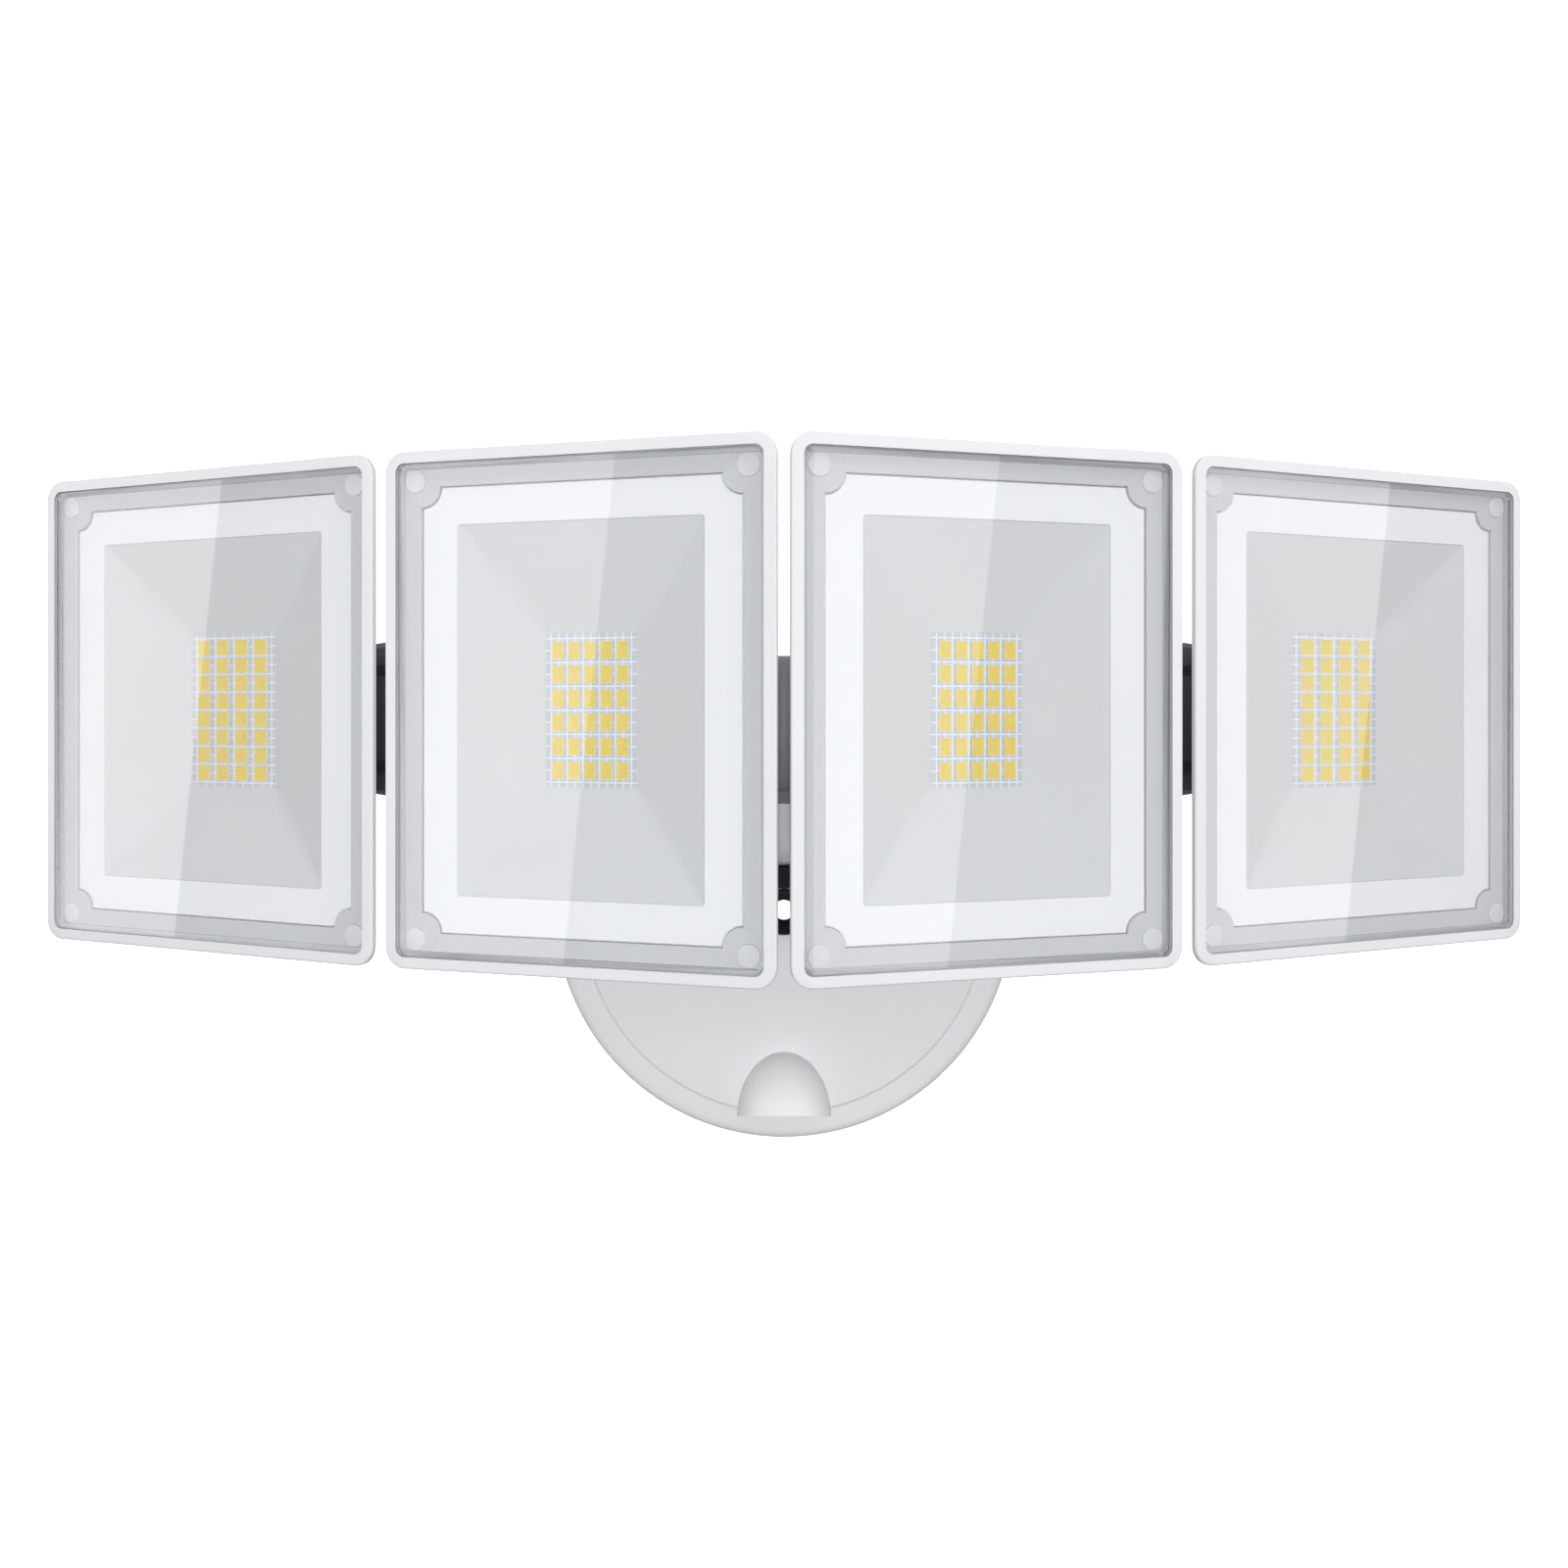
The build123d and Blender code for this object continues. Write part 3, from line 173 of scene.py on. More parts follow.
class FLOOD_PG_finish(bpy.types.PropertyGroup):
    """Colours of the finishes."""
    housing: tint("Housing", "Powder coat of the lamp heads", (0.80, 0.81, 0.83))
    moulding: tint("Moulding", "Moulded base and neck", (0.86, 0.865, 0.88))
    # hood: the moulded white made brighter, painted light on the sensor's hood
    hood: tint("Hood", "Moulded hood of the sensor", (0.94, 0.94, 0.95))
    reflector: tint("Reflector", "Flange of the moulded reflector trays", (0.82, 0.83, 0.84))
    # funnel: a darker copy of the reflector tray's white, painted shade on the funnel's sloping walls
    funnel: tint("Funnel", "Sloping walls of the reflector trays", (0.63, 0.64, 0.65))
    # charcoal: dark grey of the arms, partly their own colour and partly painted shade from between the heads
    charcoal: tint("Charcoal", "Hub, knuckles and brackets", (0.240, 0.244, 0.256))
    # rubber: also the black of the block under the neck, which is painted shadow
    rubber: tint("Rubber", "Seals and grommet", (0.012, 0.012, 0.013))
    gasket: tint("Gasket", "Gasket round each lens", (0.58, 0.59, 0.61))
    phosphor: tint("Phosphor", "Yellow phosphor of the LEDs", (0.76, 0.58, 0.10))
    package: tint("LED package", "Frame of each LED", (0.80, 0.79, 0.70))
    board: tint("Board", "Solder mask of the LED boards", (0.55, 0.565, 0.61))
    circuit: tint("Circuit board", "Solder mask of the control boards", (0.010, 0.085, 0.035))
    metal: tint("Metal", "Screws and hinge pins", (0.56, 0.57, 0.58))
    knob: tint("Knob", "Moulded control knobs", (0.16, 0.165, 0.175))


class FLOOD_PG_stage(bpy.types.PropertyGroup):
    """Camera and studio."""
    distance: length("Camera distance", "Camera in front of the wall plane", 0.3124)
    height: length("Camera height", "Camera above the base's centre", 0.0577)
    lens: FloatProperty(name="Focal length", description="Focal length for a 36 mm sensor", default=22.6)
    drop: FloatProperty(name="Vertical shift", description="Shift that keeps the camera level",
                        default=-0.047)
    key: FloatProperty(name="Key light", description="Power of the key light", default=3.5, min=0.0,
                       unit="POWER")
    front: FloatProperty(name="Front light", description="Power of the front light", default=7.6,
                         min=0.0, unit="POWER")
    fill: FloatProperty(name="Fill light", description="Strength of the white room", default=0.56, min=0.0)
    glare: FloatProperty(name="Glare", description="Strength of the soft boxes seen in the lenses",
                         default=2.8, min=0.0)


GROUPS = {"flood_head": FLOOD_PG_head, "flood_arm": FLOOD_PG_arm, "flood_base": FLOOD_PG_base,
          "flood_finish": FLOOD_PG_finish, "flood_stage": FLOOD_PG_stage}


# ---------------------------------------------------------------- mesh tools
FACE_FRONT = Matrix.Rotation(pi / 2, 4, "X")


def rounded_panel(bm, width, height, radius, depth, profile):
    """Add one rounded face across the depth axis and return it."""
    place = Matrix.Translation((0, depth, 0)) @ FACE_FRONT
    made = bmesh.ops.create_grid(bm, x_segments=1, y_segments=1, size=0.5,
                                 matrix=place @ Matrix.Diagonal((width, height, 1, 1)))
    verts = made["verts"]
    if radius > 0:
        made = bmesh.ops.bevel(bm, geom=verts, offset=radius, offset_type="OFFSET", segments=ARC,
                               profile=profile, affect="VERTICES", material=-1)
        verts = made["verts"]
    shared = set(verts[0].link_faces)
    for vert in verts:
        shared &= set(vert.link_faces)
    return shared.pop()


def lofted(bm, loops, closed=False):
    """Bridge rounded panels (width, height, radius, depth, profile) into one skin.

    The panels are spread along the depth axis while they are bridged, because loops in one
    plane would be joined with a twist, and are moved to their own depths afterwards.
    """
    panels = [rounded_panel(bm, w, h, r, i * SPREAD, p) for i, (w, h, r, _, p) in enumerate(loops)]
    rings = [list(panel.edges) for panel in panels]
    levels = [list(panel.verts) for panel in panels]
    drop = panels if closed else panels[1:-1]
    bmesh.ops.delete(bm, geom=drop, context="FACES_ONLY")
    pairs = list(zip(rings, rings[1:]))
    if closed:
        pairs.append((rings[-1], rings[0]))
    skin = []
    for first, second in pairs:
        skin.append(bmesh.ops.bridge_loops(bm, edges=first + second)["faces"])
    for i, (verts, loop) in enumerate(zip(levels, loops)):
        bmesh.ops.translate(bm, verts=verts, vec=(0, loop[3] - i * SPREAD, 0))
    return skin


def inset_loops(width, height, steps):
    """Loops for lofted() from (inset, radius, depth) steps of one outline."""
    return [(width - 2 * i, height - 2 * i, r, d, 0.5) for i, r, d in steps]


def corners(x, z):
    """The four corners of a centred rectangle."""
    return (x, z), (-x, z), (-x, -z), (x, -z)


def arc_edge(radius, front, r):
    """Points round the front edge of a turned cover."""
    return [(radius - r + r * cos(t), front + r - r * sin(t)) for t in [i * pi / 16 for i in range(9)]]


def moved_verts(made):
    """The vertices in a mesh tool's result."""
    return [v for v in made if isinstance(v, bmesh.types.BMVert)]


def soften(bm, edges, offset, segments=2):
    """Round or chamfer edges."""
    bmesh.ops.bevel(bm, geom=edges, offset=offset, segments=segments, profile=0.5, affect="EDGES",
                    material=-1)


def turned(bm, profile, centre, axis="Y", steps=ROUND_STEPS, closed=True):
    """Spin (radius, along) points round an axis into a ring or a capped solid."""
    centre = Vector(centre)
    along = {"X": Vector((1, 0, 0)), "Y": Vector((0, 1, 0)), "Z": Vector((0, 0, 1))}[axis]
    out = Vector((0, 0, 1)) if axis != "Z" else Vector((1, 0, 0))
    verts = [bm.verts.new(centre + out * r + along * a) for r, a in profile]
    edges = [bm.edges.new(pair) for pair in zip(verts, verts[1:])]
    if closed:
        edges.append(bm.edges.new((verts[-1], verts[0])))
    bmesh.ops.spin(bm, geom=verts + edges, cent=centre, axis=along, angle=2 * pi,
                   steps=steps, use_merge=True)


def box_between(bm, low, high, bevel=0.0, segments=2):
    """Add a block between two corners with rounded edges."""
    low, high = Vector(low), Vector(high)
    size = high - low
    place = Matrix.Translation((low + high) / 2) @ Matrix.Diagonal((*size, 1))
    made = bmesh.ops.create_cube(bm, size=1.0, matrix=place)
    if bevel > 0:
        edges = {e for v in made["verts"] for e in v.link_edges}
        soften(bm, list(edges), bevel, segments)


def hull_link(bm, circles, low, high, bevel):
    """Upright plate whose plan is the hull of circles (x, y, radius)."""
    verts = []
    for x, y, radius in circles:
        for z in (low, high):
            made = bmesh.ops.create_circle(bm, radius=radius, segments=SMALL_STEPS,
                                           matrix=Matrix.Translation((x, y, z)))
            verts += made["verts"]
    made = bmesh.ops.convex_hull(bm, input=verts)
    unused = moved_verts({*made["geom_interior"], *made["geom_unused"]})
    bmesh.ops.delete(bm, geom=unused, context="VERTS")
    verts = [v for v in verts if v.is_valid]
    edges = list({e for v in verts for e in v.link_edges})
    bmesh.ops.dissolve_limit(bm, angle_limit=radians(1), verts=verts, edges=edges)
    rim = {e for v in verts if v.is_valid for e in v.link_edges
           if len(e.link_faces) == 2 and e.calc_face_angle() > radians(60)}
    soften(bm, list(rim), bevel)


def prism(bm, outline, direction):
    """Extrude a polygon of points along a direction."""
    face = bm.faces.new([bm.verts.new(point) for point in outline])
    made = bmesh.ops.extrude_face_region(bm, geom=[face], use_keep_orig=True)["geom"]
    bmesh.ops.translate(bm, verts=moved_verts(made), vec=direction)


def paint_new(bm, known, index):
    """Give a material index to every face that isn't in the known set."""
    for face in bm.faces:
        if face not in known:
            face.material_index = index


def finish_piece(name, bm, body, nodes, materials, place=None, smooth=32.0, panels=True):
    """Turn a bmesh into a piece that rides on a body and stands for CAD nodes."""
    if place is not None:
        bmesh.ops.transform(bm, matrix=place, verts=bm.verts)
    bmesh.ops.remove_doubles(bm, verts=bm.verts, dist=1e-7)
    bmesh.ops.recalc_face_normals(bm, faces=bm.faces)
    bm.faces.index_update()
    flat = [face.index for face in bm.faces if panels and face.calc_area() > FLAT_AREA]
    mesh = bpy.data.meshes.new(name)
    bm.to_mesh(mesh)
    bm.free()
    mesh.shade_smooth()
    mesh.set_sharp_from_angle(angle=radians(smooth))
    for index in flat:
        mesh.polygons[index].use_smooth = False
    for material in materials:
        mesh.materials.append(material)
    piece = bpy.data.objects.new(name, mesh)
    bpy.context.scene.collection.objects.link(piece)
    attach(piece, body)
    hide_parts(*nodes)
    return piece


def stage_sheet(name, bm, material, hidden_from):
    """Add a studio sheet that some kinds of ray don't see, and return its mesh."""
    mesh = bpy.data.meshes.new(name)
    bm.to_mesh(mesh)
    bm.free()
    mesh.materials.append(material)
    sheet = bpy.data.objects.new(name, mesh)
    bpy.context.scene.collection.objects.link(sheet)
    for ray in hidden_from:
        setattr(sheet, f"visible_{ray}", False)
    return mesh


# ---------------------------------------------------------------- places from the frame
class HeadPlace:
    """Where one lamp head stands, measured from its housing. Local +X runs away from the hub."""

    def __init__(self, row, side):
        self.row, self.side, self.tag = row, side, f"{row}_{side}"
        self.body = f"{row}_head_{side}"
        mesh = frame["nodes"][self.node("housing")].data
        lens = frame["nodes"][self.node("lens")].data
        normal = max(lens.polygons, key=lambda face: face.area * (face.normal.y < -0.9)).normal
        self.yaw = atan2(normal.x, -normal.y)
        across = Vector((cos(self.yaw), sin(self.yaw), 0))
        back = Vector((-sin(self.yaw), cos(self.yaw), 0))
        u = [v.co.dot(across) for v in mesh.vertices]
        depth = [v.co.dot(back) for v in mesh.vertices]
        z = [v.co.z for v in mesh.vertices]
        self.width = max(u) - min(u)
        self.height = max(z) - min(z)
        origin = across * (max(u) + min(u)) / 2 + back * min(depth)
        origin.z = (max(z) + min(z)) / 2
        self.origin = origin
        away = across if side == "right" else -across
        self.matrix = Matrix.Translation(origin) @ Matrix((
            (away.x, back.x, 0, 0), (away.y, back.y, 0, 0), (0, 0, 1, 0), (0, 0, 0, 1)))

    def node(self, piece):
        """Name of one of the head's CAD nodes."""
        return f"{self.row}_{piece}_{self.side}"

    def local(self, point):
        """A world point in the head's own frame."""
        return self.matrix.inverted() @ Vector(point)

    def span(self, piece):
        """Local low and high corners of one of the head's CAD nodes."""
        mesh = frame["nodes"][self.node(piece)].data
        inverse = self.matrix.inverted()
        points = [inverse @ v.co for v in mesh.vertices]
        low = Vector(min(p[i] for p in points) for i in range(3))
        high = Vector(max(p[i] for p in points) for i in range(3))
        return low, high


PLACES = {(row, side): HeadPlace(row, side) for row, side in HEADS}


def box_centre(node):
    """Middle of a CAD node's box."""
    low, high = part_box(node)
    return (low + high) / 2


def loose_parts(node):
    """Boxes of the separate bodies of a CAD node, from left to right."""
    bm = bmesh.new()
    bm.from_mesh(frame["nodes"][node].data)
    bmesh.ops.remove_doubles(bm, verts=bm.verts, dist=1e-6)
    left = set(bm.verts)
    boxes = []
    while left:
        stack = [left.pop()]
        points = []
        while stack:
            vert = stack.pop()
            points.append(vert.co.copy())
            for edge in vert.link_edges:
                other = edge.other_vert(vert)
                if other in left:
                    left.remove(other)
                    stack.append(other)
        low = Vector(min(p[i] for p in points) for i in range(3))
        high = Vector(max(p[i] for p in points) for i in range(3))
        boxes.append((low, high))
    bm.free()
    return sorted(boxes, key=lambda b: tuple(round(c, 5) for c in b[0]))


# ---------------------------------------------------------------- finishes
def link(tree, source, target):
    """Connect two sockets."""
    tree.links.new(source, target)


def grained(name, colour, roughness, grain, bump, spread=0.05, broad=30.0, metallic=0.0,
            rough_spread=0.08, coat=0.0, specular=0.5, stretch=None):
    """A finish with fine grain, faint shade variation and uneven gloss on Object coordinates."""
    material = bpy.data.materials.new(name)
    material.use_nodes = True
    tree = material.node_tree
    shader = tree.nodes["Principled BSDF"]
    shader.inputs["Metallic"].default_value = metallic
    shader.inputs["Specular IOR Level"].default_value = specular
    shader.inputs["Coat Weight"].default_value = coat
    shader.inputs["Coat Roughness"].default_value = 0.12
    place = tree.nodes.new("ShaderNodeTexCoord")
    mapping = tree.nodes.new("ShaderNodeMapping")
    if stretch:
        mapping.inputs["Scale"].default_value = stretch
    link(tree, place.outputs["Object"], mapping.inputs["Vector"])
    fine = tree.nodes.new("ShaderNodeTexNoise")
    fine.inputs["Scale"].default_value = grain
    fine.inputs["Detail"].default_value = 3.0
    wide = tree.nodes.new("ShaderNodeTexNoise")
    wide.inputs["Scale"].default_value = broad
    wide.inputs["Detail"].default_value = 4.0
    for noise in (fine, wide):
        link(tree, mapping.outputs["Vector"], noise.inputs["Vector"])
    shade = tree.nodes.new("ShaderNodeValToRGB")
    shade.color_ramp.elements[0].position = 0.3
    shade.color_ramp.elements[1].position = 0.7
    shade.color_ramp.elements[0].color = (*[c * (1 - spread) for c in colour], 1)
    shade.color_ramp.elements[1].color = (*[min(1.0, c * (1 + spread / 2)) for c in colour], 1)
    link(tree, wide.outputs["Fac"], shade.inputs["Fac"])
    link(tree, shade.outputs["Color"], shader.inputs["Base Color"])
    gloss = tree.nodes.new("ShaderNodeMapRange")
    gloss.inputs["To Min"].default_value = roughness - rough_spread
    gloss.inputs["To Max"].default_value = roughness + rough_spread
    link(tree, fine.outputs["Fac"], gloss.inputs["Value"])
    link(tree, gloss.outputs["Result"], shader.inputs["Roughness"])
    relief = tree.nodes.new("ShaderNodeBump")
    relief.inputs["Strength"].default_value = bump
    relief.inputs["Distance"].default_value = 0.0002
    link(tree, fine.outputs["Fac"], relief.inputs["Height"])
    link(tree, relief.outputs["Normal"], shader.inputs["Normal"])
    return material


def clear_finish(name):
    """Clear polished polycarbonate with a faint waviness."""
    material = grained(name, (0.97, 0.98, 0.985), 0.012, 60.0, 0.004, spread=0.004, broad=18.0,
                       rough_spread=0.008)
    shader = material.node_tree.nodes["Principled BSDF"]
    shader.inputs["Transmission Weight"].default_value = 1.0
    shader.inputs["IOR"].default_value = 1.49
    return material


def milky_finish(name):
    """Milky moulded window of the sensor."""
    material = grained(name, (0.72, 0.72, 0.70), 0.34, 900.0, 0.15, spread=0.03)
    shader = material.node_tree.nodes["Principled BSDF"]
    shader.inputs["Subsurface Weight"].default_value = 0.15
    shader.inputs["Subsurface Radius"].default_value = (0.002, 0.002, 0.0018)
    return material


def board_finish(name, place, pitch, colour):
    """Solder mask with a lattice of copper tracks under it, squared to one head's board."""
    material = grained(name, colour, 0.36, 1400.0, 0.12, spread=0.04)
    tree = material.node_tree
    shader = tree.nodes["Principled BSDF"]
    coords = tree.nodes.new("ShaderNodeTexCoord")
    square = tree.nodes.new("ShaderNodeMapping")
    turn = Matrix.Rotation(-place.yaw, 4, "Z")
    square.inputs["Rotation"].default_value = (0, 0, -place.yaw)
    square.inputs["Location"].default_value = -(turn @ place.origin)
    link(tree, coords.outputs["Object"], square.inputs["Vector"])
    upright = tree.nodes.new("ShaderNodeSeparateXYZ")
    link(tree, square.outputs["Vector"], upright.inputs["Vector"])
    flat = tree.nodes.new("ShaderNodeCombineXYZ")
    link(tree, upright.outputs["X"], flat.inputs["X"])
    link(tree, upright.outputs["Z"], flat.inputs["Y"])
    tracks = tree.nodes.new("ShaderNodeTexBrick")
    tracks.offset = 0.0
    tracks.inputs["Scale"].default_value = 1.0
    tracks.inputs["Brick Width"].default_value = pitch[0] / 2
    tracks.inputs["Row Height"].default_value = pitch[1] / 2
    tracks.inputs["Mortar Size"].default_value = 0.00022
    tracks.inputs["Mortar Smooth"].default_value = 0.3
    tracks.inputs["Color1"].default_value = (*colour, 1)
    tracks.inputs["Color2"].default_value = (*[c * 0.93 for c in colour], 1)
    tracks.inputs["Mortar"].default_value = (*[min(1.0, c * 1.35) for c in colour], 1)
    link(tree, flat.outputs["Vector"], tracks.inputs["Vector"])
    link(tree, tracks.outputs["Color"], shader.inputs["Base Color"])
    return material


def phosphor_finish(name, colour):
    """Yellow phosphor under clear resin."""
    return grained(name, colour, 0.30, 2600.0, 0.08, spread=0.05, broad=700.0, coat=0.2)


def foam_finish(name):
    """Closed-cell foam with small pores."""
    material = grained(name, (0.030, 0.030, 0.032), 0.86, 1200.0, 0.5, spread=0.2)
    tree = material.node_tree
    pores = tree.nodes.new("ShaderNodeTexVoronoi")
    pores.inputs["Scale"].default_value = 1500.0
    coords = next(n for n in tree.nodes if n.bl_idname == "ShaderNodeTexCoord")
    link(tree, coords.outputs["Object"], pores.inputs["Vector"])
    relief = next(n for n in tree.nodes if n.bl_idname == "ShaderNodeBump")
    link(tree, pores.outputs["Distance"], relief.inputs["Height"])
    return material


FINISH = {}


def mix_finishes():
    """Make every finish once."""
    c = bpy.context.scene.flood_finish
    FINISH.update(
        housing=grained("powder_coat_white", c.housing, 0.40, 1500.0, 0.16, spread=0.02),
        moulding=grained("moulded_white", c.moulding, 0.42, 2200.0, 0.12, spread=0.02),
        # the hood's white is brighter than the base's moulding as painted light
        hood=grained("hood_white_painted_light", c.hood, 0.42, 2200.0, 0.10, spread=0.01),
        reflector=grained("reflector_white", c.reflector, 0.5, 1800.0, 0.03, spread=0.01, specular=0.08),
        # the funnel's walls get a darker copy of the tray's white as painted shade
        funnel=grained("reflector_funnel_painted_shade", c.funnel, 0.5, 1800.0, 0.03, spread=0.01, specular=0.08),
        # same dark grey: partly the arms' own colour, partly painted shade
        charcoal=grained("charcoal_and_painted_shade", c.charcoal, 0.40, 1700.0, 0.34, spread=0.16),
        rubber=grained("black_rubber", c.rubber, 0.62, 1600.0, 0.30, spread=0.2),
        gasket=grained("lens_gasket_grey", c.gasket, 0.62, 1400.0, 0.15, spread=0.06),
        package=grained("led_package", c.package, 0.38, 2400.0, 0.05, spread=0.05),
        phosphor=phosphor_finish("led_phosphor", c.phosphor),
        circuit=grained("circuit_green", c.circuit, 0.34, 900.0, 0.20, spread=0.3, broad=260.0),
        metal=grained("zinc_steel", c.metal, 0.34, 700.0, 0.12, spread=0.12, metallic=1.0,
                      broad=160.0, stretch=(1.0, 1.0, 5.0)),
        knob=grained("knob_grey", c.knob, 0.46, 1500.0, 0.22, spread=0.1),
        driver=grained("driver_black", (0.018, 0.018, 0.020), 0.48, 1200.0, 0.30, spread=0.2),
        resin=grained("sensor_resin", (0.42, 0.44, 0.42), 0.16, 500.0, 0.03, spread=0.08, coat=0.6),
        # inside: a darker copy of the housing's white, painted shade for the ledge, cavity and seats under
        # the lens
        inside=grained("housing_inside_painted_shade", (0.58, 0.59, 0.61), 0.5, 1500.0, 0.05, spread=0.02, specular=0.08),
        frosted=grained("frosted_boss", (0.66, 0.67, 0.69), 0.30, 1800.0, 0.10, spread=0.03),
        clear=clear_finish("clear_lens"),
        milky=milky_finish("milky_window"),
        foam=foam_finish("closed_cell_foam"),
    )


SLOT_FINISH = {
    "white_housing": "housing", "white_plastic": "moulding", "white_reflector": "reflector",
    "clear_lens": "clear", "milky_lens": "milky", "grey_gasket": "gasket", "black_rubber": "rubber",
    "foam": "foam", "charcoal": "charcoal", "led_board": "package", "led_phosphor": "phosphor",
    "green_board": "circuit", "driver_black": "driver", "sensor_clear": "resin",
    "grey_knob": "knob", "steel": "metal",
}


# ---------------------------------------------------------------- operators
class FLOOD_OT_finishes(bpy.types.Operator):
    """Mix the finishes and give one to every CAD node by its slot."""
    bl_idname = "flood.finishes"
    bl_label = "Finishes"

    def execute(self, context):
        mix_finishes()
        for part in frame["record"]["subparts"]:
            node = frame["nodes"][part["node"]]
            node.data.materials.clear()
            node.data.materials.append(FINISH[SLOT_FINISH[part["material_slot"]]])
            if part["material_slot"] == "clear_lens":
                node.visible_shadow = False
        return {"FINISHED"}


class FLOOD_OT_reflectors(bpy.types.Operator):
    """Four white trays, each a notched flange and a four-sided funnel with soft creases. The funnel's walls
    carry a darker copy of the white as painted shade.
    """
    bl_idname = "flood.reflectors"
    bl_label = "Reflectors"

    def execute(self, context):
        s = context.scene.flood_head
        for place in PLACES.values():
            low, high = place.span("led_board")
            window = (high.x - low.x - 2 * s.board_margin, high.z - low.z - 2 * s.board_margin)
            outer = (place.width - 2 * s.flange_inset, place.height - 2 * s.flange_inset)
            opening = (outer[0] - 2 * s.flange_width, outer[1] - 2 * s.flange_width)
            front, wall, edge = s.flange_front, s.reflector_wall, 0.0003
            notch = s.notch
            loops = [
                (*outer, notch, front + s.flange_thick, CONCAVE),
                (*outer, notch, front + edge, CONCAVE),
                (outer[0] - 2 * edge, outer[1] - 2 * edge, notch, front, CONCAVE),
                (opening[0] + 2 * edge, opening[1] + 2 * edge, 0.0008, front, 0.5),
            ]
            for i in range(FUNNEL_STEPS + 1):
                t = i / FUNNEL_STEPS
                swell = sin(pi * t ** 1.6)
                wide = opening[0] + (window[0] - opening[0]) * t
                tall = opening[1] + (window[1] - opening[1]) * t
                depth = front + edge + (s.funnel_depth - edge) * t
                loops.append((wide, tall, edge * 2 + s.crease * swell, depth, 0.5))
            loops.append((window[0] + 2 * wall, window[1] + 2 * wall, 0.0010, front + s.funnel_depth, 0.5))
            loops.append((opening[0] + 2 * wall, opening[1] + 2 * wall, 0.0010, front + s.flange_thick, 0.5))
            bm = bmesh.new()
            skin = lofted(bm, loops, closed=True)
            # the funnel's faces take the darker copy of the tray's white: painted shade
            for faces in skin[3:4 + FUNNEL_STEPS]:
                for face in faces:
                    face.material_index = 1
            finish_piece(f"reflector_tray_{place.tag}", bm, place.body,
                         [place.node("reflector")],
                         [FINISH["reflector"], FINISH["funnel"]], place.matrix, smooth=24.0)
        return {"FINISHED"}


class FLOOD_OT_led_boards(bpy.types.Operator):
    """Four LED boards with a printed frame, and their grids of framed LED packages."""
    bl_idname = "flood.led_boards"
    bl_label = "LED boards"

    def execute(self, context):
        s = context.scene.flood_head
        colour = context.scene.flood_finish.board
        for place in PLACES.values():
            self.board(place, s, colour)
            self.chips(place, s)
        return {"FINISHED"}

    def board(self, place, s, colour):
        """The board itself, with a raised printed line inside the window."""
        low, high = place.span("led_board")
        size = high - low
        chips = loose_parts(place.node("led_chips"))
        middle = [place.local((a + b) / 2) for a, b in chips]
        columns = sorted({round(m.x, 4) for m in middle})
        rows = sorted({round(m.z, 4) for m in middle})
        pitch = (columns[1] - columns[0], rows[1] - rows[0])
        bm = bmesh.new()
        lofted(bm, [(size.x, size.z, 0.0008, high.y, 0.5), (size.x, size.z, 0.0008, low.y + 0.0001, 0.5),
                    (size.x - 0.0002, size.z - 0.0002, 0.0007, low.y, 0.5)])
        inset = s.board_margin + 0.0007
        line = 0.00022
        steps = [(inset, 0.0006, low.y + 0.00005), (inset, 0.0006, low.y - 0.00006),
                 (inset + line, 0.0004, low.y - 0.00006), (inset + line, 0.0004, low.y + 0.00005)]
        lofted(bm, inset_loops(size.x, size.z, steps), closed=True)
        finish = board_finish(f"led_board_{place.tag}", place, pitch, colour)
        finish_piece(f"led_plate_{place.tag}", bm, place.body, [place.node("led_board")],
                     [finish], place.matrix)

    def chips(self, place, s):
        """Framed packages with a sunken phosphor window."""
        node = place.node("led_chips")
        bm = bmesh.new()
        low_y, high_y = [corner.y for corner in place.span("led_chips")]
        thick = high_y - low_y
        for low, high in loose_parts(node):
            middle = place.local((low + high) / 2)
            size = high - low
            size_x = (size.x - thick * abs(sin(place.yaw))) / cos(place.yaw)
            where = Matrix.Translation((middle.x, (low_y + high_y) / 2, middle.z))
            made = bmesh.ops.create_cube(bm, size=1.0,
                                         matrix=where @ Matrix.Diagonal((size_x, thick, size.z, 1)))
            faces = {f for v in made["verts"] for f in v.link_faces}
            front = min(faces, key=lambda f: f.calc_center_median().y)
            bmesh.ops.inset_individual(bm, faces=[front], thickness=s.chip_wall, depth=0.0)
            bmesh.ops.inset_individual(bm, faces=[front], thickness=s.chip_wall / 2, depth=0.0)
            bmesh.ops.translate(bm, verts=list(front.verts), vec=(0, s.chip_sink, 0))
            front.material_index = 1
        finish_piece(f"led_packages_{place.tag}", bm, place.body, [node],
                     [FINISH["package"], FINISH["phosphor"]], place.matrix)


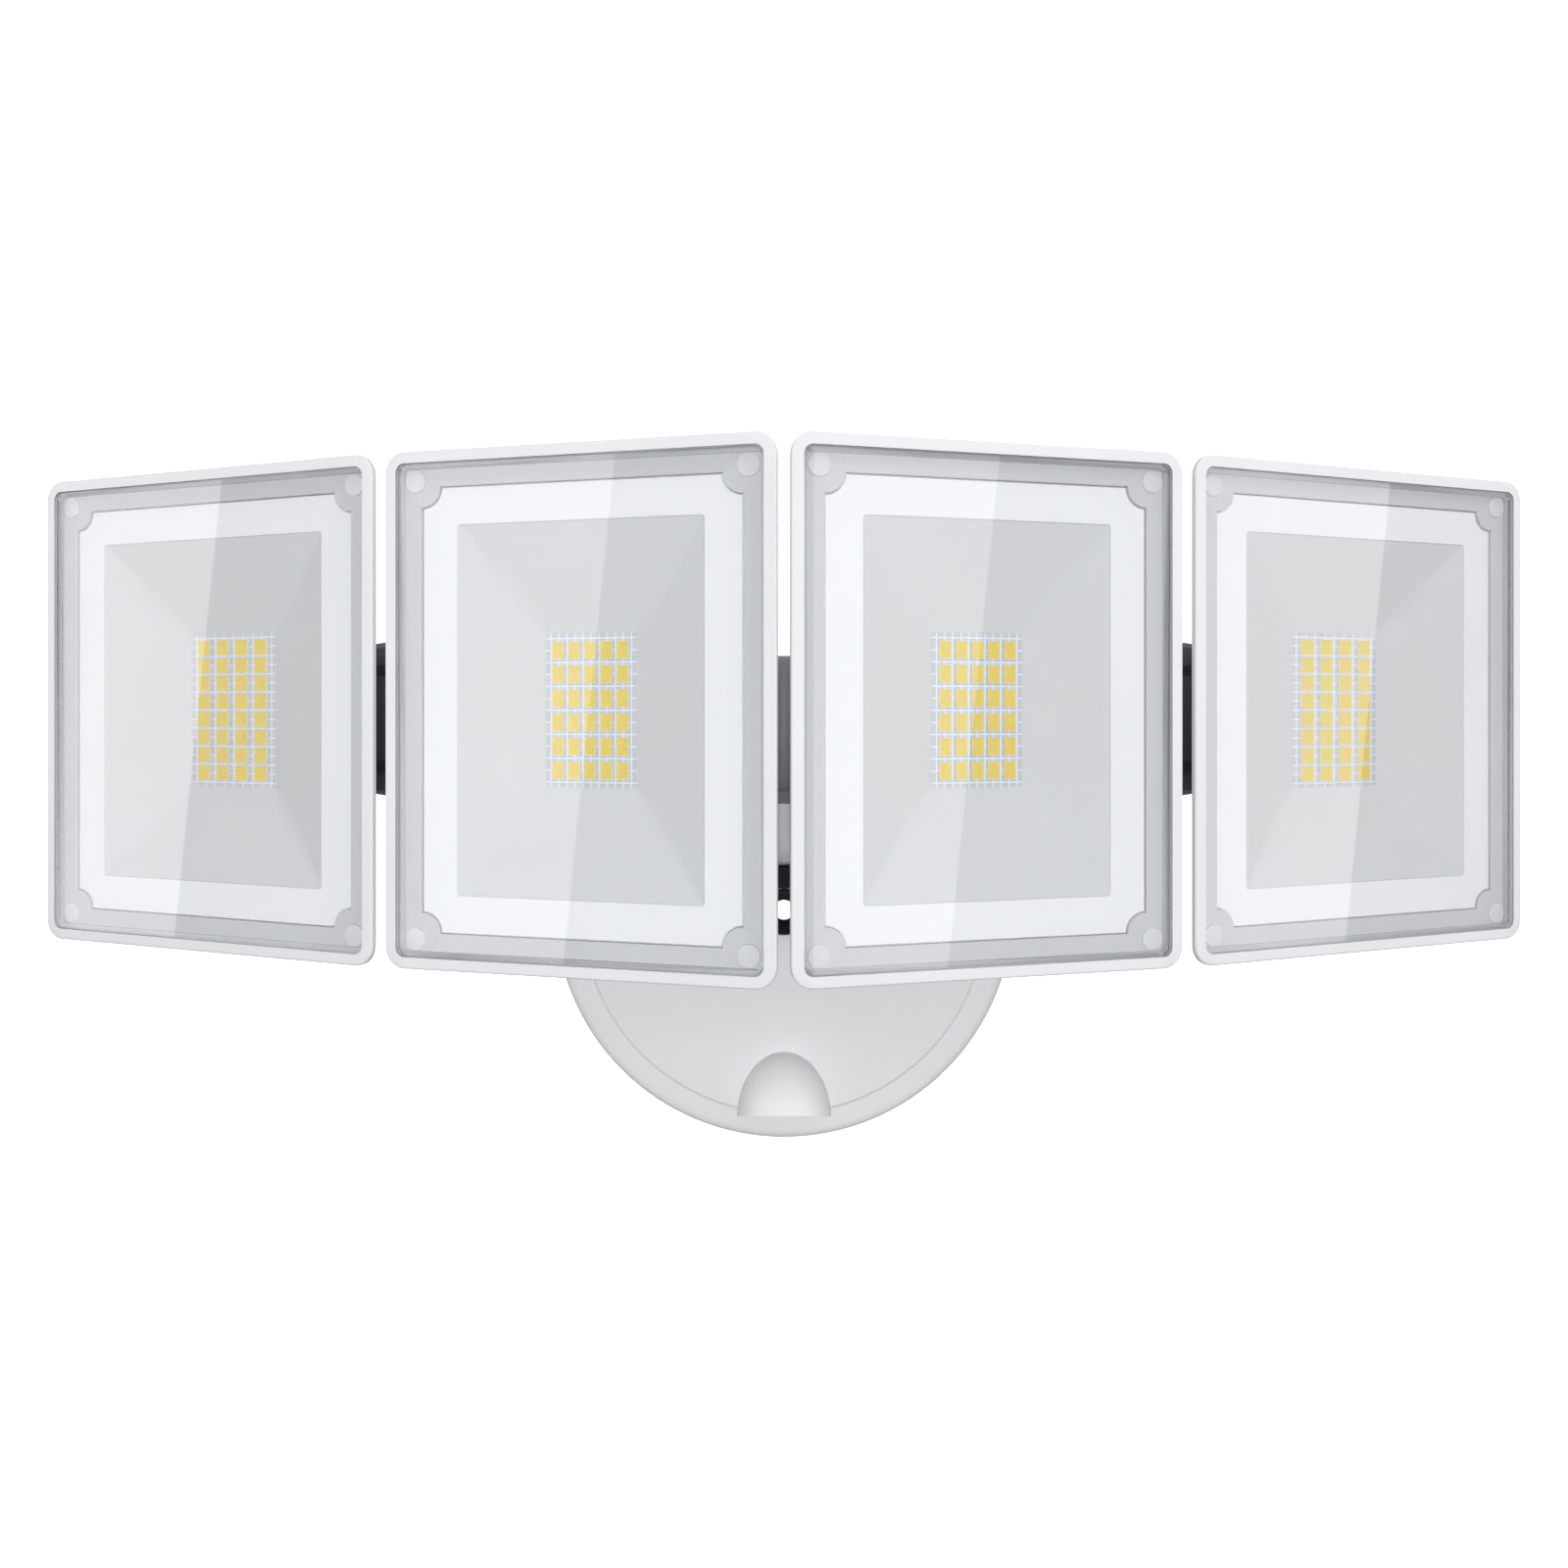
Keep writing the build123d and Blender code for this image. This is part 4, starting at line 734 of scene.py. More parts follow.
class FLOOD_OT_housings(bpy.types.Operator):
    """Four cast housings: rounded rim, lens pocket, ledge, lens seats, tapered sides and fins. The ledge,
    cavity and seats carry a darker copy of the white as painted shade.
    """
    bl_idname = "flood.housings"
    bl_label = "Housings"

    def execute(self, context):
        s = context.scene.flood_head
        for place in PLACES.values():
            bm = bmesh.new()
            self.shell(bm, place, s)
            self.fins(bm, place, s)
            known = set(bm.faces)
            self.seats(bm, place, s)
            # the seats take the darker copy of the housing's white: painted shade
            paint_new(bm, known, 1)
            finish_piece(f"head_housing_{place.tag}", bm, place.body,
                         [place.node("housing")],
                         [FINISH["housing"], FINISH["inside"]], place.matrix)
        return {"FINISHED"}

    def shell(self, bm, place, s):
        """Skin from the cavity's floor, over the ledge and the rim, to the back face."""
        slope = s.back_inset / (s.depth - s.rim_depth)
        corner, band, r = s.corner, s.rim_band, s.rim_round
        ledge = place.span("lens_gasket")[1].y
        under = ledge + s.ledge_thick
        floor = s.depth - s.shell
        side = s.shell * 1.3
        lip = r * 0.6           # rounding of the rim's inner edge
        steps = [((floor - s.rim_depth) * slope + side, 0.0020, floor),
                 ((under - s.rim_depth) * slope + side, 0.0020, under),
                 (s.ledge_inset, 0.0010, under),
                 (s.ledge_inset, 0.0010, ledge + 0.0002),
                 (s.ledge_inset - 0.0002, 0.0012, ledge),
                 (band, corner - band, ledge),
                 (band, corner - band, lip)]
        steps += [(band + lip * (1 - cos(a)), corner - band - lip * (1 - cos(a)), lip * (1 - sin(a)))
                  for a in (pi / 6, pi / 3, pi / 2)]
        inside = len(steps) - 5     # loops up to the ledge's outer edge
        steps += [(r * (1 - sin(a)), corner - r * (1 - sin(a)), r * (1 - cos(a)))
                  for a in (0, pi / 8, pi / 4, 3 * pi / 8, pi / 2)]
        steps += [(0.0, corner, s.rim_depth),
                  ((s.depth - 0.0005 - s.rim_depth) * slope, corner, s.depth - 0.0005),
                  (s.back_inset - 0.0001, corner, s.depth - 0.00012),
                  (s.back_inset + 0.0004, corner - 0.0004, s.depth)]
        skin = lofted(bm, inset_loops(place.width, place.height, steps))
        # the cavity and ledge take the darker copy of the housing's white: painted shade
        for faces in skin[:inside]:
            for face in faces:
                face.material_index = 1

    def seats(self, bm, place, s):
        """Solid seats under the lens bosses, which fill the notches of the flange."""
        ledge = place.span("lens_gasket")[1].y
        x, z = place.width / 2 - s.flange_inset, place.height / 2 - s.flange_inset
        top, low = ledge - 0.00006, ledge + s.ledge_thick - 0.0001
        profile = [(0.0, top), (s.seat - 0.0002, top), (s.seat, top + 0.0002), (s.seat, low), (0.0, low)]
        for cx, cz in corners(x, z):
            turned(bm, profile, (cx, 0, cz), steps=SMALL_STEPS)

    def fins(self, bm, place, s):
        """Upright fins on the back face, broken where the bracket lies."""
        low, high = place.span("bracket")
        half = place.width / 2 - s.back_inset - s.fin_margin
        top = place.height / 2 - s.back_inset - s.fin_margin
        pitch = 2 * (half - s.fin_thick / 2) / (FIN_COUNT - 1)
        tip = place.span("housing")[1].y
        for i in range(FIN_COUNT):
            x = -half + s.fin_thick / 2 + i * pitch
            for z0, z1 in ((-top, low.z), (high.z, top)):
                box_between(bm, (x - s.fin_thick / 2, s.depth - 0.0004, z0),
                            (x + s.fin_thick / 2, tip, z1), bevel=0.0006, segments=3)


class FLOOD_OT_lenses(bpy.types.Operator):
    """Clear panes with a chamfered edge and frosted bosses, soft gaskets and lens screws."""
    bl_idname = "flood.lenses"
    bl_label = "Lenses"

    def execute(self, context):
        s = context.scene.flood_head
        for place in PLACES.values():
            self.pane(place, s)
            self.gasket(place, s)
            self.screws(place, s)
        return {"FINISHED"}

    def pane(self, place, s):
        """The clear pane and its four bosses."""
        low, high = place.span("lens")
        width, height = high.x - low.x, high.z - low.z
        back = place.span("lens_gasket")[1].y - s.gasket_thick
        edge = 0.00035
        corner = s.corner - (place.width - width) / 2
        bm = bmesh.new()
        lofted(bm, inset_loops(width, height, [(edge, corner - edge, low.y), (0.0, corner, low.y + edge),
                                               (0.0, corner, back)]))
        piece = finish_piece(f"lens_{place.tag}", bm, place.body,
                             [place.node("lens")], [FINISH["clear"]], place.matrix)
        piece.visible_shadow = False
        x, z = place.width / 2 - s.boss_inset, place.height / 2 - s.boss_inset
        bm = bmesh.new()
        seat = back + 0.00003
        profile = [(0.0, seat), (s.boss - 0.0004, seat), (s.boss - 0.0001, back + 0.0001),
                   (s.boss, back + 0.0004), (s.boss, high.y), (0.0, high.y)]
        for cx, cz in corners(x, z):
            turned(bm, profile, (cx, 0, cz), steps=SMALL_STEPS)
        finish_piece(f"lens_bosses_{place.tag}", bm, place.body, [],
                     [FINISH["frosted"]], place.matrix)

    def gasket(self, place, s):
        """Soft frame with a rounded lip."""
        low, high = place.span("lens_gasket")
        width, height = high.x - low.x, high.z - low.z
        corner = s.corner - (place.width - width) / 2
        lip = s.gasket_lip
        foot = s.gasket_foot
        back = high.y - s.gasket_thick
        steps = [(0.0, corner, low.y + 0.0001), (0.0001, corner - 0.0001, low.y),
                 (lip - 0.0001, corner - lip + 0.0001, low.y), (lip, corner - lip, low.y + 0.0001),
                 (lip, corner - lip, back), (foot, 0.0010, back), (foot, 0.0010, high.y),
                 (0.0, corner, high.y)]
        bm = bmesh.new()
        lofted(bm, inset_loops(width, height, steps), closed=True)
        finish_piece(f"gasket_{place.tag}", bm, place.body,
                     [place.node("lens_gasket")], [FINISH["gasket"]], place.matrix)

    def screws(self, place, s):
        """Pan-head screws under the lens bosses, seen from behind."""
        high = place.span("lens_screws")[1]
        x, z = place.width / 2 - s.boss_inset, place.height / 2 - s.boss_inset
        head, shaft, top = s.screw_head, s.screw_shaft, high.y
        seat = top - s.screw_rise
        profile = [(0.0, seat - 0.0008), (shaft, seat - 0.0008), (shaft, seat), (head, seat),
                   (head, top - 0.0006), (head - 0.0003, top - 0.0002), (shaft, top), (0.0007, top),
                   (0.0006, top - 0.0007), (0.0, top - 0.0007)]
        bm = bmesh.new()
        for cx, cz in corners(x, z):
            turned(bm, profile, (cx, 0, cz), steps=24)
        finish_piece(f"lens_screw_set_{place.tag}", bm, place.body,
                     [place.node("lens_screws")], [FINISH["metal"]], place.matrix)


class FLOOD_OT_arms(bpy.types.Operator):
    """Dark grey brackets with rivets, hinge pins, tilting knuckles and the hub's front. Their dark grey is
    partly their own colour and partly painted shade from between the heads.
    """
    bl_idname = "flood.arms"
    bl_label = "Arms"

    def execute(self, context):
        s = context.scene.flood_arm
        for side in SIDES:
            self.inner_bracket(PLACES[("inner", side)], s)
            self.outer_bracket(PLACES[("outer", side)], s)
            self.knuckle(side, s)
            for row in ROWS:
                self.pin(row, side, s)
        self.hub(s)
        return {"FINISHED"}

    def ears(self, bm, pin, root, middle, s, back):
        """Two ears from a bracket's plate to a hinge pin."""
        half = s.plate / 2
        for side in (1, -1):
            z = sorted((middle + side * (s.eye_half + s.play), middle + side * s.pin_half))
            hull_link(bm, [(pin.x, pin.y, s.eye), (root, back + half, half),
                           (root + 2 * s.eye, back + half, half)], z[0], z[1], s.edge)

    def rivets(self, bm, spots, depth):
        """Round-headed rivets on a bracket's plate."""
        known = set(bm.faces)
        for x, z in spots:
            profile = [(0.0, depth - 0.0005), (0.0026, depth - 0.0005), (0.0026, depth + 0.0003),
                       (0.0023, depth + 0.0008), (0.0016, depth + 0.0012), (0.0, depth + 0.0014)]
            turned(bm, profile, (x, 0, z), steps=28)
        paint_new(bm, known, 1)

    def inner_bracket(self, place, s):
        """Plate across an inner head: a fork at the hub end and an eye at the far end."""
        pin = place.local(box_centre(f"inner_hinge_pin_{place.side}"))
        far = place.local(box_centre(f"outer_hinge_pin_{place.side}"))
        back = bpy.context.scene.flood_head.depth
        near_x, far_x = -place.width / 2 + s.inset, place.width / 2 - s.inset
        fork = near_x + 3 * s.eye
        bm = bmesh.new()
        outside = back + s.plate
        box_between(bm, (near_x, back, pin.z - s.pin_half), (fork, outside, pin.z + s.pin_half), s.edge)
        box_between(bm, (near_x, back, pin.z - s.eye_half), (far_x, outside, far.z + s.eye_half), s.edge)
        self.ears(bm, pin, near_x + s.plate / 2, pin.z, s, back)
        hull_link(bm, [(far.x, far.y, s.eye), (far_x - 0.008, back + s.plate / 2, s.plate / 2)],
                  far.z - s.eye_half, far.z + s.eye_half, s.edge)
        x0, x1 = fork + 0.005, far_x - 0.016
        self.rivets(bm, [(x, z) for x in (x0, x1) for z in (pin.z - 0.006, pin.z + 0.008)], back + s.plate)
        finish_piece(f"arm_inner_{place.side}", bm, place.body, [f"inner_bracket_{place.side}"],
                     [FINISH["charcoal"], FINISH["metal"]], place.matrix)

    def outer_bracket(self, place, s):
        """Tall tapering web with chamfered front edges and a fork at the hinge."""
        pin = place.local(box_centre(f"outer_hinge_pin_{place.side}"))
        back = bpy.context.scene.flood_head.depth
        start, end = -place.width / 2 + s.web_start, -place.width / 2 + s.web_end
        tall, short = s.web_tall / 2, s.web_short / 2
        bm = bmesh.new()
        outline = [(start, back, pin.z - tall), (end, back, pin.z - short),
                   (end, back, pin.z + short), (start, back, pin.z + tall)]
        prism(bm, outline, (0, s.plate, 0))
        front = [e for e in bm.edges if all(abs(v.co.y - back) < 1e-6 for v in e.verts)
                 and abs(e.verts[0].co.x - e.verts[1].co.x) > 0.001]
        soften(bm, front, s.web_chamfer, 1)
        rest = [e for e in bm.edges if e.calc_face_angle(0.0) > radians(50)]
        soften(bm, rest, s.edge / 2)
        self.ears(bm, pin, start + s.plate / 2, pin.z, s, back)
        self.rivets(bm, [(end - 0.007, pin.z - 0.009), (end - 0.007, pin.z + 0.009)], back + s.plate)
        finish_piece(f"arm_outer_{place.side}", bm, place.body, [f"outer_bracket_{place.side}"],
                     [FINISH["charcoal"], FINISH["metal"]], place.matrix)

    def pin(self, row, side, s):
        """Headed pin with crowned ends."""
        node = f"{row}_hinge_pin_{side}"
        low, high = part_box(node)
        centre = box_centre(node)
        head = (high.x - low.x) / 2
        rise = s.pin_rise
        half = (high.z - low.z) / 2
        profile = [(0.0, -half), (head - 0.0012, -half), (head, -half + 0.0009), (head, -half + rise),
                   (s.pin, -half + rise), (s.pin, half - rise), (head, half - rise), (head, half - 0.0009),
                   (head - 0.0012, half), (0.0014, half), (0.0010, half - 0.0005), (0.0, half - 0.0005)]
        bm = bmesh.new()
        turned(bm, profile, centre, axis="Z", steps=SMALL_STEPS)
        finish_piece(f"hinge_pin_{row}_{side}", bm, f"{row}_head_{side}", [node],
                     [FINISH["metal"]], panels=False)

    def knuckle(self, side, s):
        """Tapering barrel with a spigot inside the hub and an eye for the inner head."""
        node = f"tilt_knuckle_{side}"
        low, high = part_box(node)
        hub_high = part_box("hub_front")[1]
        axis = Vector((0, hub_high.y, (low.z + high.z) / 2))
        radius = (high.z - low.z) / 2
        start = hub_high.x + s.play
        out = start + s.knuckle
        pin = box_centre(f"inner_hinge_pin_{side}")
        spigot_in = min(abs(low.x), abs(high.x))
        e = 0.0005
        step = spigot_in + s.spigot_step
        rim = start + s.knuckle_rim
        profile = [(0.0, spigot_in), (s.flange, spigot_in), (s.flange, step), (s.spigot, step),
                   (s.spigot, start), (radius - e, start), (radius, start + e), (radius, rim - e / 2),
                   (radius - 0.0006, rim + e / 2), (s.knuckle_end + 0.0004, out - e),
                   (s.knuckle_end - e, out), (0.0, out)]
        bm = bmesh.new()
        turned(bm, profile, axis, axis="X", steps=72)
        reach = abs(pin.x)
        half = 0.004
        box_between(bm, (out - 0.003, pin.y - half, axis.z - s.eye_half),
                    (reach, pin.y + half, axis.z + s.eye_half), bevel=s.edge)
        eye = [(s.pin, -s.eye_half), (s.eye - 0.0004, -s.eye_half), (s.eye, -s.eye_half + 0.0004),
               (s.eye, s.eye_half - 0.0004), (s.eye - 0.0004, s.eye_half), (s.pin, s.eye_half)]
        turned(bm, eye, (reach, pin.y, axis.z), axis="Z", steps=48)
        mirror = Matrix.Diagonal((1 if side == "right" else -1, 1, 1, 1))
        finish_piece(f"knuckle_{side}", bm, f"knuckle_{side}", [node], [FINISH["charcoal"]],
                     mirror, panels=False)

    def hub(self, s):
        """Front half of the hub, with a fine groove where it meets the rear half."""
        low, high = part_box("hub_front")
        top = high.z
        half = high.x
        radius = high.y - low.y
        axis = Vector((0, high.y, top - radius))
        e = 0.0007
        f = e * 0.3
        profile = [(0.0, -half), (radius - e, -half), (radius - f, -half + f), (radius, -half + e),
                   (radius, half - e), (radius - f, half - f), (radius - e, half), (0.0, half)]
        bm = bmesh.new()
        turned(bm, profile, axis, axis="X", steps=ROUND_STEPS)
        foot = 0.011
        box_between(bm, (-half, axis.y - foot, low.z), (half, axis.y + foot, low.z + 0.0034), bevel=s.edge)
        cut = bmesh.ops.bisect_plane(bm, geom=[*bm.verts, *bm.edges, *bm.faces],
                                     plane_co=(0, axis.y - 0.00012, 0), plane_no=(0, 1, 0),
                                     clear_outer=True)["geom_cut"]
        bmesh.ops.holes_fill(bm, edges=[c for c in cut if isinstance(c, bmesh.types.BMEdge)])
        finish_piece("hub_nose", bm, "base", ["hub_front"], [FINISH["charcoal"]], panels=False)


class FLOOD_OT_neck(bpy.types.Operator):
    """White neck with a rounded nose, and a black block under its foot that is painted shadow from the neck.
    """
    bl_idname = "flood.neck"
    bl_label = "Neck"

    def execute(self, context):
        s = context.scene.flood_base
        low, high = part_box("neck")
        rise = 0.0052
        bm = bmesh.new()
        outline = [(low.x, high.y, low.z), (low.x, low.y, low.z + rise), (low.x, low.y, high.z),
                   (low.x, high.y, high.z)]
        face = bm.faces.new([bm.verts.new(point) for point in outline])
        nose = [v for v in face.verts if v.co.y < low.y + 1e-5 and v.co.z < high.z - 1e-5]
        bmesh.ops.bevel(bm, geom=nose, offset=s.nose, segments=12, profile=0.5, affect="VERTICES",
                        material=-1)
        face = bm.faces[:][0]
        made = bmesh.ops.extrude_face_region(bm, geom=[face], use_keep_orig=True)["geom"]
        bmesh.ops.translate(bm, verts=moved_verts(made), vec=(high.x - low.x, 0, 0))
        rim = [e for e in bm.edges if len(e.link_faces) == 2
               and abs(e.verts[0].co.x - e.verts[1].co.x) < 1e-6]
        soften(bm, rim, s.bead * 2, 4)
        finish_piece("neck_arm", bm, "base", ["neck"], [FINISH["moulding"]])
        # black block under the neck's foot: painted shadow where the neck shades the disc
        low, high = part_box("neck_seal")
        bm = bmesh.new()
        box_between(bm, (low.x, low.y, low.z), (high.x, high.y, high.z), bevel=s.bead)
        finish_piece("shadow_block_under_neck", bm, "base", ["neck_seal"], [FINISH["rubber"]])
        return {"FINISHED"}


class FLOOD_OT_hood(bpy.types.Operator):
    """Bullet-shaped hood of the motion sensor."""
    bl_idname = "flood.hood"
    bl_label = "Sensor hood"

    def execute(self, context):
        s = context.scene.flood_base
        low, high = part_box("sensor_hood")
        a, b = (high.x - low.x) / 2, high.z - low.z
        pivot = low.y + a
        steps = 20
        bm = bmesh.new()
        verts = [bm.verts.new((a * sin(t), pivot, low.z + b * cos(t)))
                 for t in [i * pi / 2 / steps for i in range(steps + 1)]]
        edges = [bm.edges.new(pair) for pair in zip(verts, verts[1:])]
        bmesh.ops.spin(bm, geom=verts + edges, cent=(0, pivot, low.z), axis=(0, 0, 1), angle=-pi, steps=48)
        bmesh.ops.remove_doubles(bm, verts=bm.verts, dist=1e-7)
        rear = [e for e in bm.edges if e.is_boundary and all(abs(v.co.y - pivot) < 1e-6 for v in e.verts)
                and max(v.co.z for v in e.verts) > low.z + 1e-6]
        made = bmesh.ops.extrude_edge_only(bm, edges=rear)["geom"]
        bmesh.ops.translate(bm, verts=moved_verts(made), vec=(0, high.y - pivot, 0))
        slope = radians(s.mouth)
        bmesh.ops.bisect_plane(bm, geom=[*bm.verts, *bm.edges, *bm.faces], plane_co=(0, high.y, low.z),
                               plane_no=(0, -sin(slope), -cos(slope)), clear_outer=True)
        bmesh.ops.remove_doubles(bm, verts=bm.verts, dist=1e-6)
        bmesh.ops.recalc_face_normals(bm, faces=bm.faces)
        if sum(f.normal.z * f.calc_area() for f in bm.faces) < 0:
            bmesh.ops.reverse_faces(bm, faces=bm.faces)
        bmesh.ops.solidify(bm, geom=bm.faces, thickness=s.hood_wall)
        # the hood's finish is the moulded white brightened as painted light
        piece = finish_piece("sensor_cap", bm, "base", ["sensor_hood"], [FINISH["hood"]],
                             panels=False, smooth=50.0)
        edge = piece.modifiers.new("edge", "BEVEL")
        edge.width = s.bead
        edge.segments = 3
        edge.limit_method = "ANGLE"
        edge.angle_limit = radians(50)
        return {"FINISHED"}


class FLOOD_OT_base(bpy.types.Operator):
    """Base ring, raised front disc, centre grommet and foam gasket."""
    bl_idname = "flood.base"
    bl_label = "Base"

    def execute(self, context):
        s = context.scene.flood_base
        low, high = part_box("canopy")
        radius, front, back = (high.x - low.x) / 2, low.y, high.y
        disc_low, disc_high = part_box("front_disc")
        disc_radius, disc_front, disc_back = (disc_high.x - disc_low.x) / 2, disc_low.y, disc_high.y
        self.ring(s, radius, front, back, disc_radius, disc_back)
        self.disc(s, disc_radius, disc_front, disc_back)
        self.grommet(s)
        self.back(s)
        return {"FINISHED"}

    def ring(self, s, radius, front, back, disc_radius, ledge):
        """Outer ring with a rounded front edge, a fine inner lip and the ledge inside."""
        inner = disc_radius + s.gap
        r, plate = s.edge_round, s.ledge_plate
        profile = arc_edge(radius, front, r) + [
            (inner + 0.0005, front), (inner + 0.00015, front + 0.00015), (inner, front + 0.0005),
            (inner, ledge), (inner - s.ledge, ledge), (inner - s.ledge, ledge + plate),
            (inner + plate, ledge + plate), (inner + plate, front + s.wall),
            (radius - s.wall, front + s.wall), (radius - s.wall, back), (radius, back)]
        bm = bmesh.new()
        turned(bm, profile, (0, 0, 0), steps=128)
        finish_piece("base_ring", bm, "base", ["canopy"],
                     [FINISH["moulding"]], smooth=28.0, panels=False)

    def disc(self, s, radius, front, back):
        """Raised disc with a rounded edge, a skirt and the grommet's hole."""
        r = s.disc_round
        arc = [(radius - r + r * cos(t), front + r - r * sin(t)) for t in [i * pi / 16 for i in range(9)]]
        hole = s.grommet
        profile = arc + [(hole + 0.0003, front), (hole, front + 0.0003), (hole, front + s.wall),
                         (radius - s.wall, front + s.wall), (radius - s.wall, back), (radius, back)]
        bm = bmesh.new()
        turned(bm, profile, (0, 0, 0), steps=128)
        finish_piece("raised_disc", bm, "base", ["front_disc"], [FINISH["moulding"]],
                     smooth=28.0, panels=False)

    def grommet(self, s):
        """Black ring with a flared mouth and a foot behind the disc."""
        low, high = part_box("centre_grommet")
        foot = (high.x - low.x) / 2
        front, back = low.y, high.y
        ring = s.grommet
        disc_back = back - 0.0012
        profile = [(ring - 0.0004, front), (ring - 0.0001, front + 0.0001), (ring, front + 0.0004),
                   (ring, disc_back), (foot, disc_back), (foot, back), (s.hole, back),
                   (s.hole, front + 0.0026),
                   (s.hole + 0.0005, front + 0.0019), (s.hole + 0.0026, front + 0.0004),
                   (s.hole + 0.0031, front)]
        bm = bmesh.new()
        turned(bm, profile, (0, 0, 0), steps=72)
        finish_piece("centre_ring", bm, "base", ["centre_grommet"], [FINISH["rubber"]],
                     panels=False)

    def back(self, s):
        """Foam gasket round the back plate."""
        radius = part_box("back_plate")[1].x
        b = s.bead
        low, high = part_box("wall_gasket")
        outer = (high.x - low.x) / 2
        inner = radius + 0.00035
        profile = [(outer - b, low.y), (outer, low.y + b), (outer, high.y - b), (outer - b, high.y),
                   (inner + b, high.y), (inner, high.y - b), (inner, low.y + b), (inner + b, low.y)]
        bm = bmesh.new()
        turned(bm, profile, (0, 0, 0), steps=96)
        finish_piece("foam_ring", bm, "base", ["wall_gasket"], [FINISH["foam"]], panels=False)


